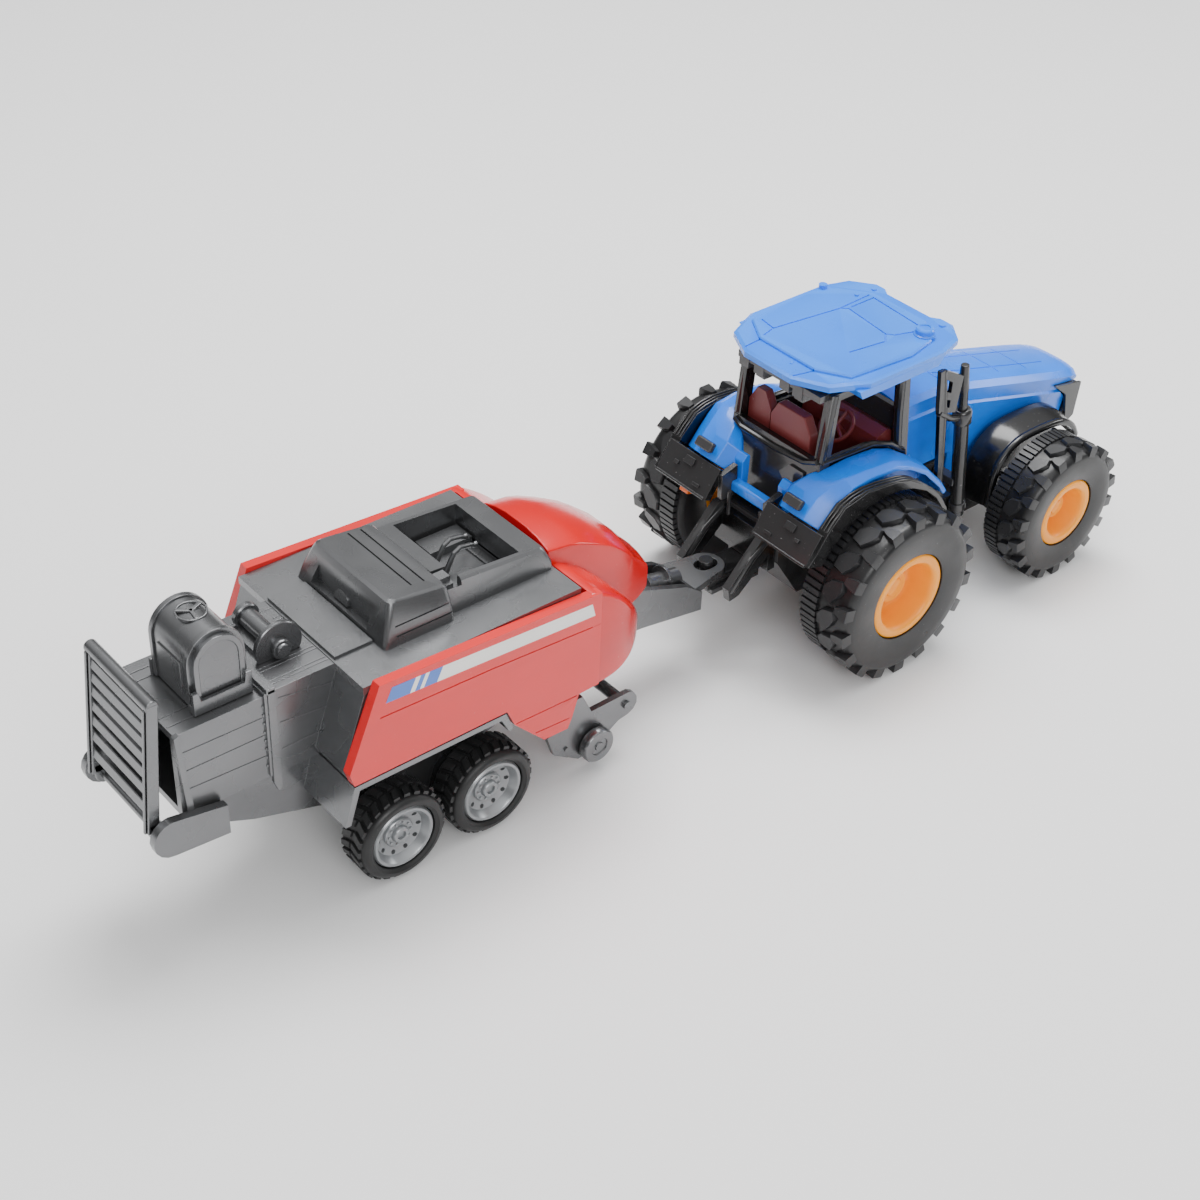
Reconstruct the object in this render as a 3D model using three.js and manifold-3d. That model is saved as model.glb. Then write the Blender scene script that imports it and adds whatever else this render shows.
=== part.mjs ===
// Toy farm set: a friction-drive tractor with a square baler hooked on behind it.
// Millimetres, +X forward, +Y to the driver's left, +Z up. The model is laid out from the point
// on the ground under the tractor's rear axle, and the whole train is then moved so that the
// origin lies on the ground in the middle of its length and width.

import * as THREE from "three";
import { mergeVertices } from "three/addons/utils/BufferGeometryUtils.js";
import Module from "manifold-3d";

const wasm = await Module();
wasm.setup();

// ---------------------------------------------------------------- driving dimensions

const GAP = 0.35; // air left between two pieces that touch
const TRAIN_REAR = -261; // rear tip of the chute arms
const TRAIN_FRONT = 129; // front of the bonnet
const SHAFT_R = 1.5; // tractor axles
const BORE_R = SHAFT_R + 0.35; // running hole on a tractor axle

const REAR_WHEEL = { x: 0, r: 31, in: 30, out: 52.8, rim: 15.7, dish: 12.1, lugs: 12, lug: 2.6 };
const FRONT_WHEEL = { x: 87.3, r: 26.1, in: 29.5, out: 47.7, rim: 12.9, dish: 9.2, lugs: 12, lug: 2.2 };
const BALER_WHEEL = { r: 15.4, in: 19, out: 31.9, rim: 10.6, dish: 8.6 };
const BALER_AXLES = { rear: -188.1, front: -155.6 };
const BALER_AXLE_R = 1.3;

const PAN = { half: 14, wall: 2.5, z0: 16.5, floor: 1.8, z1: 45 }; // tractor's underbody
const MOTOR = { x0: -11, x1: 37, half: 11, z0: 18.7, z1: 43, wall: 1.4 };
const GEAR_MODULE = 1;
const TRAIN_STEP = 12; // distance between the motor's shafts
const MOTOR_SHAFT_R = 1.1;

const CAB = { x0: -16, x1: 27, half: 20.2, floor: 45.4, sill: 72.5, top: 97.3 };
const ROOF = { z0: 97.7, rim: 103, crown: 104.8 };
const BONNET = { x0: 27.4, half: 14, bottom: 34.4, wall: 1.7 };
const HITCH = { x: -43.7, pin: 2.4, plate: 31 }; // swivel pin and underside of the drawbar eye

const PANEL = { out: 35.4, in: 32 }; // red side panels
const BETWEEN_PANELS = PANEL.in - GAP; // half-width of what reaches from panel to panel
const DECK_Z = 78.3;
const CHAMBER = { half: 17, z0: 48, z1: 76.7, rear: -250, mid: -221, front: -199, wall: 2.4 };
const CHUTE_PIVOT = { x: -256.6, z: 45.5 };
const CHUTE_TOP = 88.5;
const PICKUP_Y = 25; // middle of the pickup's side plates
const GAUGE = { x: -113, z: 10, r: 6 };
const PICKUP_TIP = { x: -99.5, z: 18, r: 4.6 }; // rounded front end of the side plates

// ---------------------------------------------------------------- materials

const paint = (color, roughness, metalness = 0) =>
  new THREE.MeshStandardMaterial({ color, roughness, metalness });
const BLUE = paint(0x1769c9, 0.25);
const BLACK = paint(0x17181a, 0.3);
const TYRE = paint(0x242527, 0.6);
const ORANGE = paint(0xf28a12, 0.35);
const MAROON = paint(0x6d2626, 0.45);
const RED = paint(0xc31a20, 0.2);
const GUNMETAL = paint(0x6f7174, 0.35, 0.4);
const SILVER = paint(0xa9abae, 0.3, 0.6);
const STEEL = paint(0xc4c6c9, 0.25, 1);
const NYLON = paint(0xe6e3d6, 0.5);

// ---------------------------------------------------------------- solids

// A closed geometry as a manifold solid.
function solid(geometry) {
  const bare = geometry.index ? geometry.toNonIndexed() : geometry.clone();
  for (const name of Object.keys(bare.attributes)) {
    if (name !== "position") bare.deleteAttribute(name);
  }
  const merged = mergeVertices(bare, 1e-4);
  return new wasm.Manifold(new wasm.Mesh({
    numProp: 3,
    vertProperties: new Float32Array(merged.attributes.position.array),
    triVerts: new Uint32Array(merged.index.array),
  }));
}

// A manifold solid as a geometry.
function geometryOf(body) {
  const mesh = body.getMesh();
  const geometry = new THREE.BufferGeometry();
  geometry.setAttribute("position", new THREE.BufferAttribute(new Float32Array(mesh.vertProperties), 3));
  geometry.setIndex(new THREE.BufferAttribute(new Uint32Array(mesh.triVerts), 1));
  return geometry;
}

const union = (...bodies) => bodies.reduce((all, next) => all.add(next));
const cut = (body, ...tools) => tools.reduce((left, tool) => left.subtract(tool), body);

function box(x0, x1, y0, y1, z0, z1) {
  const geometry = new THREE.BoxGeometry(x1 - x0, y1 - y0, z1 - z0);
  return solid(geometry.translate((x0 + x1) / 2, (y0 + y1) / 2, (z0 + z1) / 2));
}

// An outline of [a, b] points pushed out along a straight line, before it is turned into place.
function prism(points, length) {
  const shape = new THREE.Shape(points.map(([a, b]) => new THREE.Vector2(a, b)));
  return new THREE.ExtrudeGeometry(shape, { depth: length, bevelEnabled: false, curveSegments: 8 });
}

// Outline in x and z, standing between y0 and y1.
function plate(points, y0, y1) {
  return solid(prism(points, y1 - y0).rotateX(Math.PI / 2).translate(0, y1, 0));
}

// Outline in x and y, lying between z0 and z1.
const slab = (points, z0, z1) => solid(prism(points, z1 - z0).translate(0, 0, z0));

// A round bar along Y, from y0 to y1.
function barY(x, z, r, y0, y1, sides = 20) {
  const bar = new THREE.CylinderGeometry(r, r, y1 - y0, sides);
  return solid(bar.translate(x, (y0 + y1) / 2, z));
}

// A round bar along Z, from z0 to z1.
function barZ(x, y, r, z0, z1, sides = 20) {
  const bar = new THREE.CylinderGeometry(r, r, z1 - z0, sides);
  return solid(bar.rotateX(Math.PI / 2).translate(x, y, (z0 + z1) / 2));
}

// A bar between two points, its radius running from r0 to r1.
function strut(from, to, r0, r1, sides = 12) {
  const start = new THREE.Vector3(...from);
  const way = new THREE.Vector3(...to).sub(start);
  const bar = new THREE.CylinderGeometry(r1, r0, way.length(), sides);
  const turn = new THREE.Quaternion().setFromUnitVectors(
    new THREE.Vector3(0, 1, 0), way.clone().normalize());
  bar.applyQuaternion(turn);
  const middle = start.addScaledVector(way, 0.5);
  return solid(bar.translate(middle.x, middle.y, middle.z));
}

// A ring turned about Y from a closed profile of [r, y] points that doesn't touch the axis.
function turned(profile, x, z, sides) {
  const points = [...profile, profile[0]].map(([r, y]) => new THREE.Vector2(r, y));
  return solid(new THREE.LatheGeometry(points, sides).translate(x, 0, z));
}

// Skin over rings of equal point count; the first and last ring are capped, or joined if closed.
function skin(rings, closed = false) {
  const count = rings[0].length;
  const positions = rings.flat(2);
  const triangles = [];
  const steps = closed ? rings.length : rings.length - 1;
  for (let i = 0; i < steps; i += 1) {
    const a = i * count;
    const b = ((i + 1) % rings.length) * count;
    for (let k = 0; k < count; k += 1) {
      const n = (k + 1) % count;
      triangles.push(a + k, a + n, b + n, a + k, b + n, b + k);
    }
  }
  if (!closed) {
    const last = (rings.length - 1) * count;
    for (let k = 1; k < count - 1; k += 1) {
      triangles.push(0, k + 1, k, last, last + k, last + k + 1);
    }
  }
  const geometry = new THREE.BufferGeometry();
  geometry.setAttribute("position", new THREE.Float32BufferAttribute(positions, 3));
  geometry.setIndex(triangles);
  return solid(geometry);
}

// Points on an arc in a plane, from one angle to another, in degrees.
function arc(a, b, r, from, to, steps) {
  return Array.from({ length: steps + 1 }, (_, i) => {
    const angle = THREE.MathUtils.degToRad(from + ((to - from) * i) / steps);
    return [a + r * Math.cos(angle), b + r * Math.sin(angle)];
  });
}

const mirrored = (body) => body.mirror([0, 1, 0]);
const bothSides = (body) => body.add(mirrored(body));

const train = new THREE.Group();
train.position.x = -(TRAIN_REAR + TRAIN_FRONT) / 2;

function add(name, body, material) {
  const mesh = new THREE.Mesh(geometryOf(body), material);
  mesh.name = name;
  train.add(mesh);
}

// The same piece on both sides, made for the left side.
function addPair(name, body, material) {
  add(`${name}_left`, body, material);
  add(`${name}_right`, mirrored(body), material);
}

// ---------------------------------------------------------------- wheels

// A tyre on the left side: rings from the inner bead over the tread to the outer bead.
// With lugs, the tread rings step between the root and the top of slanted bars.
function tyre(wheel) {
  const { r, in: y0, out: y1, rim, lugs = 0, lug = 0 } = wheel;
  const count = lugs ? lugs * 4 : 20;
  const bead = rim - 1;
  const ring = (y, radius, shift, tread) => Array.from({ length: count }, (_, k) => {
    const pitch = (2 * Math.PI) / count;
    const onTop = k % 4 < 2;
    const radial = tread && lugs && !onTop ? radius - lug : radius;
    const angle = -Math.PI / 2 + (k + shift) * pitch;
    return [wheel.x + radial * Math.cos(angle), y, wheel.r + radial * Math.sin(angle)];
  });
  const middle = (y0 + y1) / 2;
  const shoulder = r - lug - (lugs ? 1.2 : 0.8);
  const slant = lugs ? 2 : 0;
  return skin([
    ring(y0 + 1.6, bead, 0, false),
    ring(y0, rim + 2.4, 0, false),
    ring(y0, shoulder, 0, false),
    ring(y0 + 1.4, r, 0, true),
    ring(middle, r, slant, true),
    ring(y1 - 1.4, r, 0, true),
    ring(y1, shoulder, 0, false),
    ring(y1, rim + 0.45, 0, false),
    ring(y1 - 3.9, rim + 0.3, 0, false),
    ring(y1 - 4.9, bead, 0, false),
  ].reverse(), true);
}

// A deep dished rim on the left side; its hub, bored for the axle, stands up from the dish's floor.
function rim(wheel, bore, depth, sides) {
  const { in: y0, out: y1, rim: lip, dish } = wheel;
  const drop = lip - 1 - GAP;
  const face = y1 - 0.9;
  const hub = bore + 2.4;
  const hubFace = face - depth + 2.2;
  return turned([
    [bore, y0 + 4], [bore, hubFace], [hub, hubFace], [hub, face - depth],
    [dish - 0.5, face - depth - 1], [dish, face], [lip, face], [lip, face - 2.4],
    [drop, face - 3.6], [drop, y0 + 1.8], [drop - 1.4, y0 + 1.8],
    [drop - 1.4, face - depth - 3], [hub, face - depth - 2.5], [hub, y0 + 4],
  ].reverse(), wheel.x, wheel.r, sides);
}

function axle(x, z, r, half) {
  return barY(x, z, r, -half, half, 16);
}

addPair("rear_tyre", tyre(REAR_WHEEL), TYRE);
addPair("rear_rim", rim(REAR_WHEEL, BORE_R, 9, 20), ORANGE);
addPair("front_tyre", tyre(FRONT_WHEEL), TYRE);
addPair("front_rim", rim(FRONT_WHEEL, BORE_R, 7, 20), ORANGE);
add("rear_axle", axle(REAR_WHEEL.x, REAR_WHEEL.r, SHAFT_R, 44.2), STEEL);
add("front_axle", axle(FRONT_WHEEL.x, FRONT_WHEEL.r, SHAFT_R, 41.2), STEEL);

for (const [place, x] of Object.entries(BALER_AXLES)) {
  const wheel = { ...BALER_WHEEL, x };
  addPair(`baler_${place}_tyre`, tyre(wheel), TYRE);
  addPair(`baler_${place}_rim`, rim(wheel, BALER_AXLE_R + GAP, 3.2, 16), SILVER);
  add(`baler_${place}_axle`, axle(x, BALER_WHEEL.r, BALER_AXLE_R, 28), STEEL);
}

// ---------------------------------------------------------------- friction motor

// A spur gear about Y: straight-sided teeth, the first one centred on the given angle.
function gear(x, z, teeth, first, y0, y1) {
  const pitchR = (GEAR_MODULE * teeth) / 2;
  const tip = pitchR + 0.75 * GEAR_MODULE;
  const root = pitchR - 1.1 * GEAR_MODULE;
  const outline = [];
  for (let i = 0; i < teeth; i += 1) {
    const middle = first + (i * 2 * Math.PI) / teeth;
    const half = Math.PI / teeth;
    for (const [share, r] of [[-0.5, root], [-0.22, tip], [0.22, tip], [0.5, root]]) {
      outline.push([x + r * Math.cos(middle + share * half), z + r * Math.sin(middle + share * half)]);
    }
  }
  return plate(outline, y0, y1);
}

const MOTOR_Z = REAR_WHEEL.r;
const IDLER_X = TRAIN_STEP;
const FLYWHEEL_X = 2 * TRAIN_STEP;
const BIG_TEETH = 16;
const SMALL_TEETH = 8;
const SMALL_PHASE = Math.PI / SMALL_TEETH;

function motorShaft(x) {
  return barY(x, MOTOR_Z, MOTOR_SHAFT_R, 0.3 - MOTOR.half, MOTOR.half - 0.3, 12);
}

const motorHoles = [
  barY(0, MOTOR_Z, BORE_R, -20, 20),
  barY(IDLER_X, MOTOR_Z, MOTOR_SHAFT_R + GAP, -20, 20, 12),
  barY(FLYWHEEL_X, MOTOR_Z, MOTOR_SHAFT_R + GAP, -20, 20, 12),
];
const { wall: CASE_WALL } = MOTOR;
add("motor_case", cut(
  box(MOTOR.x0, MOTOR.x1, -MOTOR.half, MOTOR.half, MOTOR.z0, MOTOR.z1),
  box(MOTOR.x0 + CASE_WALL, MOTOR.x1 - CASE_WALL, CASE_WALL - MOTOR.half, MOTOR.half - CASE_WALL,
    MOTOR.z0 + CASE_WALL, MOTOR.z1 + 1),
  ...motorHoles,
), NYLON);
add("motor_cover", box(MOTOR.x0, MOTOR.x1, -MOTOR.half, MOTOR.half, MOTOR.z1 + GAP, MOTOR.z1 + 1.5), NYLON);
add("axle_gear", cut(gear(0, MOTOR_Z, BIG_TEETH, 0, 5, 8), barY(0, MOTOR_Z, BORE_R, 4, 9, 16)), NYLON);
add("idler_gear", union(
  gear(IDLER_X, MOTOR_Z, SMALL_TEETH, SMALL_PHASE, 4.5, 8.5),
  gear(IDLER_X, MOTOR_Z, BIG_TEETH, 0, -0.5, 3),
  motorShaft(IDLER_X),
), NYLON);
add("flywheel", union(
  gear(FLYWHEEL_X, MOTOR_Z, SMALL_TEETH, SMALL_PHASE, -0.5, 3),
  barY(FLYWHEEL_X, MOTOR_Z, 10, -8, -3.5, 28),
  motorShaft(FLYWHEEL_X),
), STEEL);

// ---------------------------------------------------------------- tractor underbody

const PAN_SCREWS = { middle: 53.5, front: 114.5 };
const SCREW = { shank: 1.2, head: 2.4, headHeight: 1.4, length: 11 };

function screwHole(x, z0) {
  return union(
    barZ(x, 0, SCREW.head + GAP, z0 - 1, z0 + SCREW.headHeight + GAP, 14),
    barZ(x, 0, SCREW.shank + GAP, z0, z0 + SCREW.length + 1, 10),
  );
}

function screw(x, z0) {
  return union(
    barZ(x, 0, SCREW.head, z0, z0 + SCREW.headHeight, 14),
    barZ(x, 0, SCREW.shank, z0 + 0.5, z0 + SCREW.length, 10),
  );
}

const panInner = PAN.half - PAN.wall;
const panFloor = PAN.z0 + PAN.floor;
const traySide = [[-24, PAN.z1], [-24, 33], [-13, PAN.z0], [56, PAN.z0], [56, PAN.z1]];
const trayInside = [[-18, PAN.z1 + 1], [-18, 29], [-11.6, panFloor], [50, panFloor], [50, PAN.z1 + 1]];
const panTray = cut(plate(traySide, -PAN.half, PAN.half), plate(trayInside, -panInner, panInner));
const panNose = cut(box(55, 118, -15.2, 15.2, PAN.z0, 34), box(60, 111, -12.4, 12.4, panFloor, 35));
const sideTank = box(38, 55, PAN.half - 1, 20.5, PAN.z0, 33);
const step = box(38, 52, PAN.half - 1, 24, 18, 20.5);
add("chassis_pan", cut(
  union(panTray, panNose, bothSides(union(sideTank, step))),
  barY(0, REAR_WHEEL.r, BORE_R, -20, 20),
  barY(FRONT_WHEEL.x, FRONT_WHEEL.r, BORE_R, -20, 20),
  screwHole(PAN_SCREWS.middle, PAN.z0),
  screwHole(PAN_SCREWS.front, PAN.z0),
), BLACK);
for (const [place, x] of Object.entries(PAN_SCREWS)) {
  add(`pan_screw_${place}`, screw(x, PAN.z0), STEEL);
}

const hitchArm = plate([[-25, 40], [-25, 47], [-30, 47], [-45, 30.5], [-44, 25.6], [-40, 26.4]], 10, 13);
add("hitch_bracket", union(
  box(-27.6, -24 - GAP, -13, 13, 31, 44),
  box(-27.6, -24 - GAP, -6, 6, 24, 32),
  box(-47, -26, -5, 5, HITCH.plate - 4.4, HITCH.plate - GAP),
  barZ(HITCH.x, 0, HITCH.pin, HITCH.plate - 3, HITCH.plate + 4.4, 16),
  bothSides(hitchArm),
), BLACK);

// ---------------------------------------------------------------- fenders

const fenderTop = [[36.5, 48], [33.6, 52.7], [24.5, 61.8], [16, 67.5], [8, 70.5], [-17, 70.5], [-22, 66.5],
  [-27.5, 59.6]];
const fenderUnder = [[-25.8, 58.4], [-20.6, 64.9], [-16.2, 68.2], [7.6, 68.2], [15.2, 65.3], [23.2, 59.9],
  [31.9, 51.2], [34.6, 46.8]];
const fenderRear = [[-17, 70.5], [-22, 66.5], [-27.5, 59.6], [-25.8, 58.4], [-20.6, 64.9], [-17, 67.6]];
addPair("rear_fender", union(
  plate([...fenderTop, ...fenderUnder], 20.8, 33),
  plate(fenderRear, 12.3, 21),
  plate([...fenderTop.slice(2), [-25, 60], [24.5, 60]], 20.8, 22.4),
), BLUE);

const archTop = [[33.5, 40], [30.5, 47], [25.6, 54], [16.8, 61.2], [9.9, 65.5], [2.5, 67.4], [-10.3, 68.9],
  [-20.5, 66.7], [-27.1, 59.8], [-31, 54], [-34.9, 49.5]];
const archUnder = arc(0, REAR_WHEEL.r, 32.8, 150, 15, 10);
const flap = [[-35.2, 49.2], [-28.9, 59], [-26.6, 57.4], [-32.4, 48]];
const archEndWall = [[-29.5, 57.5], [-22.5, 59.5], [-22, 47.6], [-29, 47.6]];
addPair("fender_arch", union(
  plate([...archTop, ...archUnder], 33 + GAP, 37.7),
  plate(flap, 11.5, 36.5),
  plate(archEndWall, 9.8, 12),
), BLACK);

const frontTop = [[113, 42], [109.5, 47.5], [103, 51.6], [95, 53.4], [79, 53.2], [72, 50.4], [66.8, 45],
  [64.6, 38], [64, 27]];
const frontUnder = [[66.2, 27], [66.8, 37.6], [68.8, 43.9], [73.2, 48.4], [79.6, 51], [94.7, 51.2],
  [101.9, 49.6], [107.8, 46], [111, 41.2]];
addPair("front_fender", union(
  plate([...frontTop, ...frontUnder], 16, FRONT_WHEEL.in - 0.4),
  plate([...frontTop.slice(0, 8), [64.8, 29.5], [112, 29.5]], 15.6, 17.2),
), BLACK);

// ---------------------------------------------------------------- cab

const cabSide = [[CAB.x0, CAB.floor], [CAB.x1, CAB.floor], [CAB.x1, 61], [16, 68.3], [8, 71.2],
  [CAB.x0, CAB.sill]];
const rearPillar = plate([[-16, 70], [-11.5, 70], [-9.5, CAB.top], [-13.8, CAB.top]], 17.6, 20.6);
const frontPillar = plate([[22, 58], [27, 58], [22.5, CAB.top], [18.5, CAB.top]], 17.6, 20.6);
const lampBracket = box(-16.8, -12, 7, 11, 91.5, CAB.top);
add("cab_frame", union(
  cut(plate(cabSide, -CAB.half, CAB.half), box(CAB.x0 + 2.4, CAB.x1 - 2.4, -17.8, 17.8, CAB.floor + 2, 90)),
  bothSides(union(rearPillar, frontPillar, lampBracket)),
  cut(box(-13.8, 22.5, -20.6, 20.6, 94.6, CAB.top), box(-10.6, 19.4, -17.8, 17.8, 90, 99)),
), BLACK);

const roofHalf = [[42.8, 11], [44.5, 14.2], [38.7, 24], [29.2, 28.2], [-4.6, 27.8], [-16.9, 22.5],
  [-23.1, 10.5]];
const acrossMiddle = (half) => [...half, ...half.map(([x, y]) => [x, -y]).reverse()];
const crownHalf = [[38.5, 12], [31.5, 22.5], [-9.3, 21.6], [-14.4, 11.8]];
const level = (half, z, grow) => acrossMiddle(half).map(([x, y]) => [
  12 + (x - 12) * (1 + grow / 26), y * (1 + grow / 20), z]);
add("cab_roof", union(
  slab(acrossMiddle(roofHalf), 100.2, ROOF.rim),
  skin([level(crownHalf, ROOF.rim - 0.5, 1.6), level(crownHalf, ROOF.crown, 0)]),
  box(-9.5, 29.1, -27.9, 27.9, ROOF.z0, 100.6),
  barZ(29.9, -18, 3.3, 104, 106.8, 18),
), BLUE);

const cabInnerFloor = CAB.floor + 2 + GAP;
add("cab_tub", union(
  box(-13, 24, -17.4, 17.4, cabInnerFloor, cabInnerFloor + 2),
  plate([[15, 49], [24, 49], [24, 69], [19, 71], [13, 66]], -17.2, 17.2),
  plate([[-12.6, 49], [4, 49], [4, 60], [-6, 61], [-8.5, 82.5], [-12.6, 82.5]], 7, 17),
  strut([14, -3.5, 64], [9, -3.5, 70], 1.1, 1.1, 8),
  strut([9.4, -3.5, 69.5], [8.4, -3.5, 70.7], 6, 6, 20),
), MAROON);
add("driver_seat", union(
  box(-9, 4, -11.4, 5.4, 52, 59),
  plate([[-12.6, 55], [-6.4, 57], [-8.4, 83], [-12.6, 83.5]], -12, 5.8),
  box(-7, 2, -8, 0, cabInnerFloor + 2 + GAP, 54),
), MAROON);

// ---------------------------------------------------------------- bonnet and nose

// Height of the bonnet's side edges along its length.
function bonnetEdge(x) {
  return x < 50 ? 76.2 - (x - BONNET.x0) * 0.03 : 75.5 - (x - 50) * 0.269;
}

// One cross-section of the bonnet, drawn in by an inset for the inside.
function bonnetRing(x, narrow, inset) {
  const top = bonnetEdge(x) - inset;
  const side = BONNET.half - inset - narrow;
  const half = [[side - 0.5, BONNET.bottom - 2 * inset], [side + 1.2, top - 7.5], [side, top],
    [side * 0.4, top + 1.7]];
  const ring = [...half, ...half.map(([y, z]) => [-y, z]).reverse()];
  return ring.map(([y, z]) => [x, y, z]);
}

const bonnetOuter = skin([[BONNET.x0, 0], [50, 0], [112, 0], [125, 1.2], [TRAIN_FRONT, 2.6]]
  .map(([x, narrow]) => bonnetRing(x, narrow, 0)));
const bonnetInner = skin([[BONNET.x0 + BONNET.wall, 0], [50, 0], [112, 0], [126, 1.4]]
  .map(([x, narrow]) => bonnetRing(x, narrow, BONNET.wall)));
const noseCut = plate([[112, 54.2], [131, 50.2], [131, 30], [117.5, 30], [120, 46.4]], -20, 20);
add("bonnet", cut(bonnetOuter, bonnetInner, noseCut, box(20, 57.4, -20, 20, 30, PAN.z1 + 0.4)), BLUE);

const grilleSide = [[112.9, 53.4], [127, 50.5], [125.6, 37], [121, 34.4], [118.4, 34.4], [120.9, 46.6]];
add("front_grille", plate(grilleSide, -14.4, 14.4), BLACK);
addPair("headlamp", box(127.2, 128.6, 7.5, 13.5, 44.5, 48.6), SILVER);

// ---------------------------------------------------------------- exhaust and mirror bracket

const EXHAUST_Y = -24;
add("exhaust_stack", union(
  strut([54.6, EXHAUST_Y, 27], [48.7, EXHAUST_Y, 68], 2.6, 2.6, 16),
  strut([48.9, EXHAUST_Y, 67], [48.3, EXHAUST_Y, 72.5], 3.3, 3.3, 16),
  strut([48.4, EXHAUST_Y, 71.5], [46, EXHAUST_Y, 90.3], 1.7, 1.4, 12),
  box(49.5, 53.5, EXHAUST_Y, -PAN.half - GAP, 40, 43),
), BLACK);
add("mirror_bracket", union(
  cut(
    plate([[31, 93.5], [35.5, 92.3], [43.2, 88], [41.6, 74.5], [33, 77]], -26.5, -24.8),
    plate([[34.2, 89.6], [37.8, 87.4], [37.8, 83.4], [34.6, 85]], -28, -24),
    plate([[34.6, 81.8], [38, 80.4], [38, 77.6], [34.8, 79]], -28, -24),
  ),
  plate([[31, 93.5], [33.4, 93.5], [41.6, 40], [39.2, 40]], -26.5, -24.8),
  plate([[38, 44], [42, 44], [42, 40], [38, 40]], -26.5, -PAN.half - GAP),
), BLACK);

// ---------------------------------------------------------------- drawbar

const barSide = [[-53, 24], [-53, 31.5], [-60, 36.4], [-79, 43.4], [-111.8, 43.4], [-111.8, 31], [-79, 28.2]];
const eyeOutline = [[-58, 9], [-44, 6.3], ...arc(HITCH.x, 0, 6.4, 75, -75, 8), [-44, -6.3], [-58, -9]];
const eyeSlot = [...arc(HITCH.x + 1.4, 0, HITCH.pin + 0.6, 90, -90, 8),
  ...arc(HITCH.x - 1.4, 0, HITCH.pin + 0.6, 270, 90, 8)];
add("drawbar", union(
  cut(plate(barSide, -9, 9), plate([[-58, 27], [-58, 50], [-108, 50], [-108, 34], [-79, 31]], -6.6, 6.6)),
  cut(slab(eyeOutline, HITCH.plate, HITCH.plate + 2.6), slab(eyeSlot, 0, 60)),
  strut([-57, 0, 34], [-84, 0, 37.5], 3.4, 4.4, 12),
  box(-76, -70, -3, 3, 28, 36),
), GUNMETAL);

// ---------------------------------------------------------------- baler frame and running boards

const FRAME_TOP = CHAMBER.z0 - GAP;
const frameSide = [[-240, FRAME_TOP], [-240, 38], [-227, 32.2], [-206, 25.5], [-197, 22], [-194, 11],
  [-150, 11], [-146, 22], [-140, 24], [-127, 31], [-112.2, 31], [-112.2, FRAME_TOP]];
const frameInside = [[-236, 44], [-236, 20], [-197, 0], [-146, 0], [-116, 20], [-116, 44]];
const board = [[-210.5, 35], [-208.6, 35], [-205.2, 46.3], [-156, 46.3], [-153.2, 41], [-151.6, 41.6],
  [-154.3, 48.2], [-206.8, 48.2]];
const chuteArm = [...arc(-255, CHUTE_PIVOT.z, 6, 90, 270, 8), [-238, 38.2], [-238, 48.4]];
const crossBeam = box(-243, -238, 13, 20.5, 39, 47);
const bearing = (x) => barY(x, BALER_WHEEL.r, BALER_AXLE_R + GAP, -20, 20, 14);
const FRAME_SCREW_X = -122;
add("under_frame", cut(
  union(
    cut(plate(frameSide, -14, 14), plate(frameInside, -11.4, 11.4)),
    box(FRAME_SCREW_X - 4, FRAME_SCREW_X + 4, -4, 4, 31, 46),
    bothSides(union(plate(board, 13.8, PANEL.out), plate(chuteArm, 17.8, 20.5), crossBeam)),
  ),
  bearing(BALER_AXLES.rear),
  bearing(BALER_AXLES.front),
  bothSides(barY(CHUTE_PIVOT.x, CHUTE_PIVOT.z, 1.9, 17, 19.4, 14)),
  screwHole(FRAME_SCREW_X, 31),
), GUNMETAL);
add("frame_screw", screw(FRAME_SCREW_X, 31), STEEL);

// ---------------------------------------------------------------- bale chamber and what stands on it

const WALL = CHAMBER.wall;
add("bale_chamber", cut(
  union(
    box(CHAMBER.rear, CHAMBER.mid, -CHAMBER.half, CHAMBER.half, CHAMBER.z0, CHAMBER.z1),
    box(CHAMBER.mid - 1.8, CHAMBER.front, -17.8, 17.8, CHAMBER.z0 + 0.6, 78),
    plate([[-208, 52], [-206.8, 49], [-197.8, 76], [-199.2, 78]], -BETWEEN_PANELS, BETWEEN_PANELS),
  ),
  box(CHAMBER.rear - 1, -190, WALL - CHAMBER.half, CHAMBER.half - WALL, CHAMBER.z0 + WALL,
    CHAMBER.z1 - WALL),
), GUNMETAL);

const DOME = { x: -232.3, r: 8.9, spring: 91.1, foot: CHAMBER.z1 + GAP };
const domeFace = [...arc(DOME.x, DOME.spring, DOME.r, 0, 180, 10), [DOME.x - DOME.r, DOME.foot],
  [DOME.x + DOME.r, DOME.foot]];
add("twine_dome", cut(
  union(
    plate(domeFace, -11.4, 9),
    box(DOME.x - 9.3, DOME.x + 9.3, -13, 10, DOME.foot, DOME.foot + 4),
  ),
  box(DOME.x - 6.8, DOME.x + 6.8, -9.3, 7, DOME.foot - 1, DOME.spring),
), GUNMETAL);

const WINCH = { x: -209.4, z: 80.6 };
const chamberTop = 78 + GAP;
add("knotter_winch", union(
  barY(WINCH.x, WINCH.z, 3.2, -5, 12, 16),
  barY(WINCH.x, WINCH.z, 4.2, 10.4, 12.4, 16),
  barY(WINCH.x, WINCH.z, 8.2, -7.4, -4, 24),
  barY(WINCH.x, WINCH.z, 3, -10, -7, 16),
).intersect(box(-230, -190, -20, 20, chamberTop, 100)), GUNMETAL);

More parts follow.
